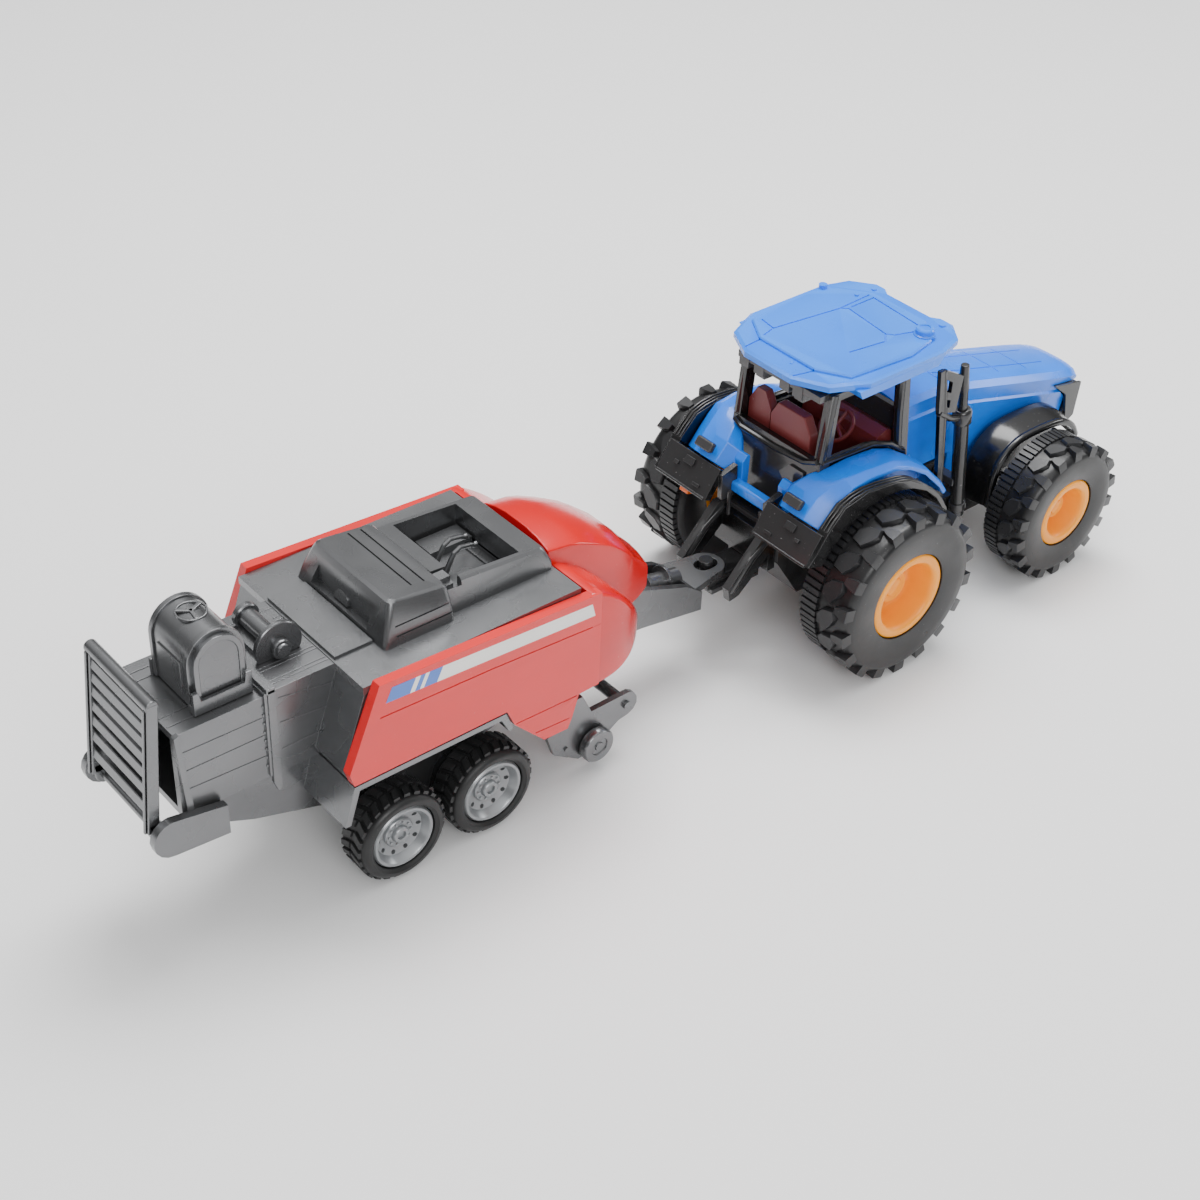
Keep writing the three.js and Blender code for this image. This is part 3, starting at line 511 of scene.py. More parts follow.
def road_tyre(name, node, body, x, sign):
    """A small road tyre with rounded shoulders and two rows of slanted tread blocks."""
    y0, y1, bead, blocks = 19, 31.9, 9.6, 26
    rise, fall = shoulders(ROAD_R - 0.9, 2.2, y0, y1)
    profile = [(bead, y0 + 1.6), (bead + 2, y0 + 0.1), (ROAD_R - 3.4, y0), *rise, *fall, (ROAD_R - 3.4, y1),
               (bead + 2.4, y1 - 0.1), (bead + 1.4, y1 - 0.8), (bead + 0.9, y1 - 3.9), (bead, y1 - 4.9)]
    shells = [turned(profile, x, ROAD_R, 80)]
    for turn in circle(blocks):
        for a, b, lean, shift in ((y0 + 1.9, y0 + 6.1, -1.5, 0), (y0 + 6.8, y1 - 1.9, 1.5, pi / blocks)):
            block = [(-1.1, a), (1.1, a), (1.1 + lean, b), (-1.1 + lean, b)]
            shells.append(wrapped(block, x, ROAD_R, turn + shift, ROAD_R - 2, ROAD_R, 0.15))
    piece(name, on_side(sign, shells), SMALL_TYRE, body, (node,), angle=38)


def holed_rim(name, node, body, x, sign):
    """A silver disc wheel: ten hand holes round a flat hub with ten nuts and a centre cap."""
    face, inner, lip = 31, 19, 10.6
    disc = [(1.65, inner + 4), (1.65, face - 3.4), (3.2, face - 3.4), (6.2, face - 3.2), (7.9, face - 2.6),
            (8.9, face - 0.5), (9.3, face), (10.1, face + 0.1), (lip, face - 0.5), (lip, face - 2.4),
            (9.3, face - 3.6), (9.3, inner + 1.8), (8, inner + 1.8), (7.6, face - 5.2), (4.1, face - 5.6),
            (4.1, inner + 4)]
    hub = [(4.9, face - 4), (4.9, face - 2.7), (4.6, face - 2.4), (2.9, face - 2.4), (2.7, face - 1.5),
           (2.4, face - 1.2), (1.5, face - 1.2), (1.4, face - 1.9)]

    def round_hub(away, r, low, high, sides):
        """Ten small cylinders round the hub, so far away from its middle."""
        return [spun([(r, low), (r, high)], x + away * cos(t), ROAD_R + away * sin(t), sides)
                for t in circle(10)]

    shells = [cut(turned(disc, x, ROAD_R, 80), *round_hub(7, 0.75, face - 7, face, 14)),
              spun(hub, x, ROAD_R, 48), *round_hub(3.8, 0.42, face - 3, face - 2, 6)]
    piece(name, on_side(sign, shells), SILVER, body, (node,), angle=35)


for spot, x in (("rear", -188.1), ("front", -155.6)):
    for sign, side in SIDES:
        body = f"baler_{spot}_wheels"
        road_tyre(f"road_tyre_{spot}_{side}", f"baler_{spot}_tyre_{side}", body, x, sign)
        holed_rim(f"road_rim_{spot}_{side}", f"baler_{spot}_rim_{side}", body, x, sign)

for look, nodes in (
        (STEEL, ("rear_axle", "front_axle", "baler_rear_axle", "baler_front_axle", "flywheel")),
        (NYLON, ("motor_case", "motor_cover", "axle_gear", "idler_gear"))):
    for node in nodes:
        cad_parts[node].data.materials.clear()
        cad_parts[node].data.materials.append(look.material)

# ---- screws


def screw_piece(name, node, body, x, z):
    """A pan-head screw from below with a cross recess."""
    head = [(CORE, 1.4), (2.3, 1.4), (2.4, 1.1), (2.2, 0.4), (1.6, 0.05), (CORE, 0)]
    head, shank = (skin([[(x + r * cos(t), r * sin(t), z + h) for t in circle(sides)] for r, h in rings])
                   for rings, sides in ((head, 28), ([(1.2, 1.3), (1.2, 10), (0.5, 11)], 12)))
    head = cut(head, box(x - 1.3, x + 1.3, -0.25, 0.25, z - 1, z + 0.8),
               box(x - 0.25, x + 0.25, -1.3, 1.3, z - 1, z + 0.8))
    piece(name, [head, shank], STEEL, body, (node,), angle=40)


screw_piece("screw_middle", "pan_screw_middle", "tractor", 53.5, 16.5)
screw_piece("screw_front", "pan_screw_front", "tractor", 114.5, 16.5)
screw_piece("screw_baler", "frame_screw", "baler", -122, 31)

# ---- tractor body

part("chassis", "chassis_pan", BLACK, "tractor", adds=[
    *both(prism("x", [(9.5, 33), (12.5, 33), (12.5, 44), (9.5, 44)], -25, -23.8)),
    *[box(x, x + 1.4, -13.2, 13.2, 15.9, 17) for x in range(-8, 46, 9)],
])
part("hitch", "hitch_bracket", BLACK, "tractor", bevel=0.6, adds=[
    *both(rod([(-27, 11.5, 44.5), (-35, 11.5, 39), (-43.5, 11.5, 28.5)], [1.9, 2.2, 1.9]),
          rod([(-27.6, 7.5, 52), (-27.6, 7.5, 43)], 0.8, 10)),
    rod([(-43.7, 0, 25.6), (-43.7, 0, 28.5)], 3.2, 24),
    box(-46, -28, -6.4, 6.4, 25.4, 27.2),
])

# Each stop of a rear fender: x, z, inner edge, its drop, start of the outer facet, and the facet's drop.
FENDER = [(35.8, 49.2, 21, 0.3, 31.8, 0.6), (33, 53.2, 21, 0.3, 31.6, 0.7),
          (24.5, 61.9, 21, 0.3, 31.2, 0.9), (16, 67.4, 20.8, 0.3, 30.8, 1.1),
          (8, 70.3, 20.8, 0.3, 30.4, 1.3), (-4, 71.3, 20.8, 0.3, 30.2, 1.5),
          (-13, 70.7, 20.6, 0.3, 29.2, 2), (-17.4, 68.8, 15.6, 2.6, 27.6, 3.4),
          (-22.4, 65.4, 11.8, 4.6, 26.4, 4.6), (-27.8, 59, 11.6, 5, 26.2, 4.8)]


def fender_section(stop):
    inner, inner_drop, facet, facet_drop = stop[2:]
    bend = inner + 0.8 + inner_drop * 0.7
    return [(inner, -inner_drop), (bend, 0), ((bend + facet) / 2, 0.5), (facet, 0), (33, -facet_drop),
            (33, -facet_drop - 1.6), (facet, -2.2), (bend, -2.2), (inner, -inner_drop - 1.8)]


# Each stop of a front fender: x and z of its top.
GUARD = rounded_path([(113, 41.8), (109.6, 47.2), (103.4, 51.4), (95, 53.2), (80, 53.2), (72.4, 50.6),
                      (67, 45.4), (64.8, 38.4), (64.2, 27)], 3)
GUARD_SECTION = [(15.7, -0.6), (16.6, 0.1), (22, -0.2), (26.9, -1.5), (27.6, -1), (28.6, -1.3),
                 (29.1, -2.3), (29, -3.5), (27, -3.4), (22, -2.3), (16.6, -1.9), (15.7, -1.7)]

for sign, side in SIDES:
    post = prism("y", [(-21.8, 60.6), (-20, 62.8), (-18.4, 62.4), (-18.6, 51.4), (-21.6, 50.6)], 8.4, 12.6)
    inside = prism("y", [(35, 49), (24.5, 60.4), (16, 66), (8, 68.8), (-13, 69.2), (-19, 64), (-19, 60),
                         (26, 50)], 20.8, 22.2)
    piece(f"fender_{side}", on_side(sign, [swept(FENDER, fender_section), post, inside]), BLUE, "tractor",
          (f"rear_fender_{side}",), bevel=0.5, steps=3, angle=16)
    lens = prism("y", [(-29.4, 62.7), (-27.2, 65.6), (-25.2, 64.4), (-27.4, 61.4)], 17.4, 25.2)
    piece(f"fender_lens_{side}", on_side(sign, [lens]), BLACK, "tractor", bevel=0.7)

    top = rounded_path([(30.5, 47), (25.6, 54), (16.8, 61.2), (9.9, 65.5), (2.5, 67.4), (-10.3, 68.9),
                        (-20.5, 66.7), (-27.1, 59.8)], 2)
    ribs = [rod([(a, y, b - 0.1) for a, b in top], 0.5, 8) for y in (34.2, 35.5, 36.8)]
    marks = [
        prism("y", [(-32, 56), (-30.4, 58.2), (-29.4, 57.4), (-31, 55.2)], 22.2, 26.6),
        prism("y", [(-33.2, 54.4), (-32.4, 55.4), (-31.4, 54.6), (-32.2, 53.6)], 28.2, 30.2),
        prism("y", [(-34.6, 51.6), (-34, 52.6), (-33, 51.8), (-33.6, 50.8)], 16, 19.2),
        rod([(-35.1, 12.2, 49.4), (-35.1, 36.2, 49.4)], 0.6, 8),
    ]
    part(f"arch_{side}", f"fender_arch_{side}", BLACK, "tractor", on_side(sign, ribs + marks),
         bevel=0.9, steps=3)

    wall = prism("y", [(112, 40.8), (108.6, 46.2), (102.8, 50), (95, 51.6), (80, 51.6), (73.4, 49.2),
                       (68.6, 44.6), (66.6, 38), (66.2, 29.6), (111, 29.6)], 15.8, 17.2)
    piece(f"front_guard_{side}", on_side(sign, [swept(GUARD, lambda stop: GUARD_SECTION), wall]), BLACK,
          "tractor", (f"front_fender_{side}",), bevel=0.35, angle=24)
    part(f"lamp_{side}", f"headlamp_{side}", LAMP, "tractor")

piece("corner_lamps", both(rod([(126.4, 13.7, 49.6), (127.7, 14, 49.5)], 1)), LAMP, "tractor", bevel=0.2)
piece("amber_lamp", [prism("y", [(-35, 46.8), (-34.2, 49), (-31.8, 48.2), (-32.6, 46)], 20.4, 24.6)], AMBER,
      "tractor", bevel=0.4)

# Cab: the moulded frame with window beads, a stepped rear panel and roof brackets.
rear_panel = [
    prism("x", [(-14.5, 66.5), (-8, 66.5), (-3.5, 62), (-8.5, 56), (-14.5, 56)], -16.8, -15.4),
    rod([(-16.4, y, z) for y, z in ((-19.6, 73.2), (-14, 70.6), (0, 69.2), (16, 69.2), (19.4, 71))], 1, 8),
]
brackets = [box(-17.8, -14.6, y - 2.2, y + 2.2, 92.8, 97.4) for y in (-9, -3, 9, 16)]
cab_adds = [
    *rear_panel, *brackets, box(-17.6, -13, -19, 19, 95.2, 97.6), box(24.4, 26.6, -17, 17, 58, 77),
    *both(rod([(22.6, 19.6, 62), (20.6, 19.6, 78), (19.6, 19.6, 96)], 1.5, 10),
          rod([(-14.6, 19.4, 73), (-13.4, 19.4, 84), (-11.8, 19.4, 97)], 1.7, 10),
          rod([(-15, 20.4, 73), (-4, 20.6, 72.4), (8, 20.6, 71.8), (17, 20.6, 68.4), (24, 20.6, 63.4),
               (26, 20.6, 56), (26.4, 20.6, 47)], 1.1, 10)),
]
part("cab", "cab_frame", BLACK, "tractor", bevel=0.7, adds=cab_adds)
piece("cab_sill", [box(-24.8, -20.6, -11.4, 11.4, 49.6, 53.8)], BLUE, "tractor", bevel=1.1, steps=3)

# Roof: a rimmed plate with a raised, chamfered crown, sunk panel lines, a skirt and a knob.
rim_half = [(42.4, 10.4), (44.5, 13.4), (44.5, 17.5), (38.7, 25.2), (29.2, 28.1), (-4.6, 28), (-17.4, 22.2),
            (-23.4, 10.6)]
crown_half = [(36.8, 11.6), (29, 21.6), (17, 24.4), (-8.4, 22.6), (-14.6, 12.4)]


def roof_layers(half, *levels):
    """An outline and its mirror image, stacked at levels of (z, growth outward)."""
    outline = half + [(x, -y) for x, y in reversed(half)]
    return skin([[(10 + (x - 10) * (1 + grow / 26), y * (1 + grow / 20), z) for x, y in outline]
                 for z, grow in levels])


roof_plate = roof_layers(rim_half, (100, -0.8), (100.8, 0), (102.6, 0), (103.3, -0.8))
roof_crown = roof_layers(crown_half, (102.4, 0.5), (103.9, 0.4), (104.3, 0))
skirt = skin([[(x0, -y, z), (x1, -y, z), (x1, y, z), (x0, y, z)]
              for x0, x1, y, z in ((-7.4, 28, 27.6, 97.6), (-9.5, 29.3, 28.1, 101))])
CROWN_LINES = [[(-12.9, 12.7), (-7.4, 14.2), (19.8, 10.9), (34.4, 11.7)], [(-7.4, 14.2), (-6.4, 20.6)],
               [(19.8, 10.9), (22.2, 9.1), (19.7, -10.2), (16.1, -13.7), (1.8, -11.8)],
               [(19.7, -10.2), (21.5, -12.5), (32.4, -16.3), (34.4, 9.4), (23.8, 9.3)]]
RIM_LINES = [[(-22, 12), (-14.6, 12.6)], [(-22, -10.6), (-14.4, -12.4)]]
roof_lines = [g for lines, low, high in ((CROWN_LINES, 103.9, 106), (RIM_LINES, 102.9, 104))
              for line in lines for g in path_grooves("z", line, 0.6, low, high)]
roof_top = cut(joined(roof_plate, roof_crown), *roof_lines)
knob = [[(29.9 + r * cos(t), -18 + r * sin(t), z) for t in circle(40)] for r, z in (
    (3.7, 104), (3.6, 104.7), (3.1, 105), (3.1, 106.3), (2.7, 106.7), (1.9, 106.8), (1.8, 106.5))]
studs = [rod([(x, y, 102.6), (x, y, z)], r, 14) for x, y, z, r in (
    (40, 14.5, 103.8, 0.9), (40.4, -16.4, 103.8, 1.2), (31, 14, 104.8, 0.8), (27, 26, 104.6, 1.5))]
marks = [rod([(x, y, 103), (x + 1.6, y + 0.5, 103.1)], 0.6, 8)
         for x, y in ((-17.6, -4.6), (6, -22), (8, 18))]
piece("roof", [joined(roof_top, skirt), skin(knob), *studs, *marks], BLUE, "tractor", ("cab_roof",),
      bevel=0.35, angle=20)

# Seats, dash and wheel.


def cushion(x0, x1, y0, y1, z0, z1):
    """A padded block whose sides pull in at top and bottom, with a crowned top."""
    x, y = (x0 + x1) / 2, (y0 + y1) / 2
    rings = []
    for share, grow in ((0, -1), (0.12, 0), (0.8, 0), (1, -1.4)):
        near, far = grow * 0.5, grow * 0.6
        rings.append([(a, b, z0 + (z1 - z0) * share) for a, b in (
            (x0 - near, y0 - near), (x, y0 - far), (x1 + near, y0 - near), (x1 + far, y),
            (x1 + near, y1 + near), (x, y1 + far), (x0 - near, y1 + near), (x0 - far, y))])
    points, faces = skin(rings)
    top = len(points) - 8
    points.append((x, y, z1 + 1.2))
    return points, faces[:-1] + [(top + k, top + (k + 1) % 8, len(points) - 1) for k in range(8)]


def backrest(x, y0, y1, z0, z1, lean, thick):
    """A seat back: flat faces, chamfered top corners and a chamfered edge all round the front."""
    middle = (y0 + y1) / 2
    half = (y1 - y0) / 2
    outline = [(-half, z0), (-half, z1 - 5.5), (-half + 3.2, z1), (half - 3.2, z1), (half, z1 - 5.5),
               (half, z0)]
    rings = []
    for depth, shrink in ((0, 1), (thick * 0.62, 1), (thick, 0.78)):
        rings.append([(x + depth + (z - z0) * lean, middle + y * shrink,
                       z0 + (z - z0) * (0.5 + 0.5 * shrink)) for y, z in outline])
    return skin(rings)


piece("seat", [backrest(-12.6, -12.4, 6.2, 56, 83.8, -0.03, 6), cushion(-9, 4, -11.8, 5.6, 53, 59.6),
               box(-7, 2, -8, 0, 50.2, 54)], MAROON, "tractor", ("driver_seat",), bevel=0.8, steps=3)
wheel_centre = Vector((8.9, -3.5, 70.1))
wheel_axis = Vector((-5, 0, 6)).normalized()
side_way = Vector((0, 1, 0))
up_way = wheel_axis.cross(side_way)


def on_wheel(r, t, lift=0):
    return tuple(wheel_centre + (side_way * cos(t) + up_way * sin(t)) * r + wheel_axis * lift)


rim = [[on_wheel(6 + 0.75 * cos(a), t, 0.75 * sin(a)) for a in circle(8)] for t in circle(36)]
steering = [skin(rim, closed=True), rod([on_wheel(0, 0, -8), on_wheel(0, 0, 0.4)], 1.2, 12)]
steering += [rod([on_wheel(0, 0), on_wheel(5.8, t)], 0.7, 8) for t in (0.5, 2.6, 4.7)]
dash = prism("y", [(15, 49.6), (24, 49.6), (24, 69), (19.4, 71.4), (14.6, 69.6), (13.4, 66)], -17, 17)
console = prism("y", [(-6, 50), (12, 50), (12, 55), (3, 60), (-6, 60)], -17.2, -13)
piece("cab_interior", [
    box(-13, 24, -17.4, 17.4, 47.8, 49.8),
    cut(dash, *[box(12, 17, y, y + 4, 60, 64.5) for y in (-14, 6, 11)]), console,
    backrest(-12.8, 7, 17.3, 56, 84, 0.02, 5), cushion(-10, 4, 6.8, 16.8, 53, 60),
    box(-11, 3, 7, 16, 49.6, 54), *steering,
    *[rod([(x, -15, 55), (x + 1, -15, 61)], 0.6, 8) for x in (0, 4, 8)],
], MAROON, "tractor", ("cab_tub",), bevel=0.9, steps=3)

# Bonnet: a lofted hood with a sharp side edge, a crease below it and sunk panel lines on top.


def edge_height(x):
    return 76.2 - (x - 27.4) * 0.03 if x < 50 else 75.5 - (x - 50) * 0.269


def hood_ring(x, narrow, drop):
    """Half the hood's outline at x, and its mirror: so much narrower and lower than at the cab."""
    top = edge_height(x) - drop
    side = 14 - narrow
    half = [(side - 0.6, 34.6), (side - 0.2, top - 20), (side + 0.4, top - 11), (side + 1.2, top - 7.4),
            (side + 0.4, top - 6.6), (side + 0.3, top - 1.9), (side - 1.6, top + 0.1),
            (side * 0.6, top + 0.9), (side * 0.25, top + 1.2)]
    return [(x, y, z) for y, z in half + [(-y, z) for y, z in reversed(half)]]


HOOD = [*((x, 0, 0) for x in (27.4, 40, 50, 58, 74, 90)), (104, 0.1, 0), (112, 0.3, 0), (118, 0.6, 0),
        (122.5, 1.1, 0), (126.4, 1.7, 0.2), (128.4, 2.6, 0.9), (129, 3.6, 2)]
hood = skin([hood_ring(*row) for row in HOOD])
nose_cut = prism("y", [(112, 54.2), (131, 50.4), (131, 30), (117.5, 30), (120, 46.4)], -20, 20)
wheel_room = spun([(27.6, 15.4), (27.6, 25)], FRONT_X, FRONT_R, 64)
hood = cut(hood, nose_cut, box(20, 57.4, -20, 20, 30, 46), *both(wheel_room))


def hood_groove(start, end):
    """A fine groove along the hood's sloping top."""
    flat = groove("z", start, end, 0.5, 0, 1)[0]
    floor, roof = ([(x, y, edge_height(x) + lift) for x, y, _ in flat[:4]] for lift in (0.6, 3))
    return skin([floor, roof])


hood_lines = [hood_groove(a, b) for y in (-5.2, 5.2) for a, b in (((53, y), (84, y)), ((86, y), (114, y)))]
hood_lines += [hood_groove((x, -8.6), (x, 8.6)) for x in (51.5, 85, 101)]
hood = cut(hood, *hood_lines)
piece("hood", [hood], BLUE, "tractor", ("bonnet",), bevel=0.5, angle=24)
mask = prism("y", [(111.4, 54.3), (126.9, 51.3), (125.8, 37.6), (121.5, 35), (118.6, 48.6)], 14.2, 15.4)
slats = [box(125.4, 127.4 - 0.5 * k, -12.6, 12.6, 47.6 - 2.4 * k, 48.6 - 2.4 * k) for k in range(4)]
part("grille", "front_grille", BLACK, "tractor", bevel=0.7, adds=[*both(mask), *slats])

# Exhaust and mirror bracket.
STACK_Y = -24


def stack_rod(points, radii, sides):
    return rod([(x, STACK_Y, z) for x, z in points], radii, sides)


piece("exhaust", [
    stack_rod([(54.6, 27), (52.8, 40), (48.9, 67.4)], [2.5, 2.6, 2.6], 28),
    stack_rod([(49, 66.4), (48.9, 67.2), (48.4, 71.6), (48.2, 72.6)], [2.7, 3.4, 3.4, 2.6], 28),
    stack_rod([(48.4, 71.5), (47.4, 79), (46.9, 81), (46, 90.3)], [1.8, 1.7, 2, 1.5], 20),
    stack_rod([(54.2, 29.6), (53.7, 32.6)], 3.1, 24),
    box(49.5, 53.5, STACK_Y, -14.4, 40, 43),
], BLACK, "tractor", ("exhaust_stack",), bevel=0.4, angle=42)
part("mirror", "mirror_bracket", BLACK, "tractor", adds=[
    rod([(33.4, -25.6, 93), (36.4, -25.6, 77), (38.6, -25.6, 60), (40.6, -25.6, 41)], 1.15, 12),
    rod([(34, -25.6, 76.6), (40, -25.6, 72.4), (44.6, -25.2, 70.6)], 1.3, 10),
])

# ---- baler: drawbar and frame

part("towbar", "drawbar", GREY, "baler", [
    rod([(x, 0, z), (x - 1.2, 0, z + 0.2)], 5, 28) for x, z in ((-62.6, 35.4), (-71, 36.4))])
part("frame_base", "under_frame", GREY, "baler", bevel=0.6,
     adds=both(prism("y", [(-208.9, 36), (-208.1, 36), (-205.4, 45.6), (-206.2, 45.6)], 15, 34.8)))

# ---- bale chamber and what stands on it

LINE = 0.4  # width of a raised line
side_lines = [groove("y", a, b, LINE, low, low + 0.4) for low, lines in (
    (-17.2, [((-249.6, 69.9), (-223.5, 69.5)), ((-249.6, 63.3), (-223.5, 63.2)),
             ((-249.6, 56.9), (-223.5, 55.8))]),
    (-18, [((-218.4, 74.6), (-201, 71.8)), ((-218.4, 66), (-202.4, 64.3)),
           ((-218.4, 56.6), (-206.5, 56.7))]),
) for a, b in lines]
top_lines = [box(x0, x1, y, y + LINE, z0, z1) for x0, x1, z0, z1, spots in (
    (-249.6, -223, 76.5, 76.95, (-13, -8.6, 12.8, 8.8)),
    (-219, -200.5, 77.8, 78.2, (-15.4, -14, -9.4, -8, 1.4, 2.8, 7.8, 9.2, 13.8))) for y in spots]
flange = prism("y", [(-222, 46), (-221.8, 78.6), (-219.6, 78.6), (-219.2, 60), (-219.4, 43.4),
                     (-220.8, 42.6)], 16.8, 18.2)
rear_lip = prism("y", [(-250.6, 76.6), (-248.8, 49.4), (-246.8, 49.4), (-248.4, 70), (-248.9, 77.2)],
                 16.4, 18.2)
hatch = [box(-223.4, -222.2, 16.9, 17.3, z, z + 0.8) for z in range(52, 76, 3)]
ribs = [*both(flange, rear_lip, *hatch, *side_lines), *top_lines,
        box(-222.2, -219.4, -18.2, 18.2, 77.6, 79.3)]
part("chamber", "bale_chamber", GREY, "baler", bevel=0.3, adds=ribs)

DOME_X, SPRING, FOOT = -232.3, 91.1, 77.1  # the twine box: its middle, where its arch starts, and its foot


def dome_outline(r):
    return [(DOME_X + r, FOOT), *arc(DOME_X, SPRING, r, 0, 180, 24), (DOME_X - r, FOOT)]


star = [groove("z", (DOME_X, 0.4), (DOME_X + 3.6 * cos(t), 0.4 + 3.6 * sin(t)), 1.2, 99.2, 99.9)
        for t in (0.4, 2.5, 4.6)]
ring_mark = turned([(3.9, -0.3), (4.5, -0.3), (4.5, 0.3), (3.9, 0.3)], DOME_X, 0.4, 40)
ring_mark = [(x, z, 99.45 + y) for x, y, z in ring_mark[0]], ring_mark[1]
face_plate = prism("y", [(DOME_X + 6, 79), *arc(DOME_X, SPRING, 6, 0, 180, 20), (DOME_X - 6, 79)],
                   -13, -12.1)
dome = [
    prism("y", dome_outline(8.3), -10.4, 8.4),
    prism("y", dome_outline(8.9), -11, -9.4),
    prism("y", dome_outline(8.9), 7.2, 9),
    cut(prism("y", dome_outline(7.6), -12.6, -10.6), face_plate),
    prism("y", [(-241.6, FOOT - 0.2), (-223.6, FOOT - 0.2), (-223.6, 84.2), (-225.4, 84.2), (-225.9, 81),
                (-239.2, 81), (-239.8, 84.2), (-241.6, 84.2)], -13.8, -12.4),
    box(DOME_X - 9.3, DOME_X + 8.7, -12.6, -10.8, FOOT - 0.2, 79.4),
    box(DOME_X - 9.2, DOME_X + 9.2, 9, 10.2, FOOT - 0.2, 82),
    prism("y", [(DOME_X - 8.8, 80), (DOME_X - 8, 80), (DOME_X - 8, 90.4), (DOME_X - 8.8, 90.4)], -6.8, 5),
    ring_mark, *star,
]
piece("twine_box", dome, GREY, "baler", ("twine_dome",), bevel=0.35, angle=28)

WINCH_X, WINCH_Z = -210.4, 81.6
drum = [spun(profile, WINCH_X, WINCH_Z - drop, sides) for profile, drop, sides in (
    ([(1.9, -8.8), (2.2, -8.4), (2.2, -5.8)], 0.4, 28),
    ([(2.9, -8), (3.1, -7.6), (3.1, -5.8)], 0.4, 28),
    ([(7.2, -6.2), (7.5, -5.9), (7.5, -4.9), (7.2, -4.6)], 0, 56),
    ([(2.9, -4.8), (2.9, 10.4)], 0, 32),
    ([(3.6, 10), (4, 10.4), (4, 12), (3.6, 12.4)], 0, 32))]
floor_cut = box(-225, -195, -20, 20, 60, 78.2)
piece("winch", [*[cut(d, floor_cut) for d in drum], box(-216, -204, -4.8, 11, 78, 79.6)], GREY, "baler",
      ("knotter_winch",), bevel=0.2, angle=40)

# The chute: two uprights, a round top bar and rails.
PIVOT_X, PIVOT_Z = -256.6, 45.5


def chute_x(z):
    """The leaning chute's middle at a height."""
    return PIVOT_X - 2.4 + (z - PIVOT_Z) * 0.1


def leaning(*spots):
    """Points so far ahead of the chute's middle, at their heights."""
    return [(chute_x(z) + ahead, z) for ahead, z in spots]


upright = prism("y", leaning((-1.7, 47), (1.9, 47), (1.7, 89.4), (-1.7, 89.4)), 14, 16.8)
edge_rib = prism("y", leaning((-2.3, 47), (-1.5, 47), (-1.5, 88), (-2.3, 88)), 14.8, 16)
foot = prism("y", [*arc(PIVOT_X, PIVOT_Z, 2.9, 180, 360, 12), *leaning((2, 50), (-1.6, 50))], 14, 16.8)
chute = [*both(upright, edge_rib, foot),
         rod([(chute_x(88.5), -16.7, 88.5), (chute_x(88.5), 16.7, 88.5)], 2, 24),
         rod([(PIVOT_X, -18.6, PIVOT_Z), (PIVOT_X, 18.6, PIVOT_Z)], 1.5, 20)]
for z in (54.5, 60.5, 65.8, 70.7, 75.6, 80.2, 84.6):
    x = chute_x(z)
    rail = [(x - 1.6, z - 1.5), (x + 0.5, z - 1.7), (x + 1.2, z + 1.1), (x - 0.9, z + 1.6)]
    chute.append(prism("y", rail, -14.6, 14.6))
piece("chute_gate", chute, GREY, "bale_chute", ("bale_chute",), bevel=0.4, angle=35)

# ---- red panels, decal, shoulders and nose

# Outline of a red side panel, and the rings of the shoulder that closes its front: x, side, top, bottom.
PANEL = [(-197.4, 79.8), (-208.2, 53.2), (-206.8, 48.7), (-154, 48.7), (-151.1, 42.3), (-140, 30.9),
         (-131, 30.6), (-129.5, 34), (-127, 42), (-119.4, 42.3), (-119.4, 76.3), (-121.5, 76.4)]
SHOULDER = rounded_path([(-122.6, 35.36, 76.5, 42.2), (-120, 35.36, 76.2, 42.2), (-115, 35.3, 73.2, 42),
                         (-110, 34.9, 69.6, 42.6), (-106, 33.9, 65.8, 44), (-102.5, 32, 61.9, 46.2),
                         (-100, 29.5, 58.7, 48), (-98, 25.5, 56, 49.5), (-96.5, 20, 53.2, 50.8)], 3)


def shoulder_ring(x, side, top, bottom):
    """A half hoop from the nose's flank outward, its two outer corners rounded."""
    inner = 15.5
    soft = min(max(1.3, 1.3 + (x + 118) * 0.16), (side - inner) * 0.45, (top - bottom) * 0.45)
    high = arc(side - soft, top - soft, soft, 90, 0, 5)
    low = arc(side - soft, bottom + soft, soft, 0, -90, 5)
    return [(x, y, z) for y, z in [(inner, top), *high, *low, (inner, bottom)]]


# The side stripe follows the panel's top edge: its two ends along X, the heights of its edges there,
# and how far its ends lean.
STRIPE_REAR, STRIPE_FRONT, LEAN = -195.6, -119.4, 2.2
LOWER, UPPER = (72.9, 69), (77.5, 73.6)


def stripe_block(x0, x1, front_lean=LEAN):
    """The outline of the stripe's part from x0 to x1."""
    outline = []
    for x, lean, (rear, front) in (
            (x0, 0, LOWER), (x1, 0, LOWER), (x1, front_lean, UPPER), (x0, LEAN, UPPER)):
        share = (x - STRIPE_REAR) / (STRIPE_FRONT - STRIPE_REAR)
        outline.append((x + lean, rear + (front - rear) * share))
    return outline


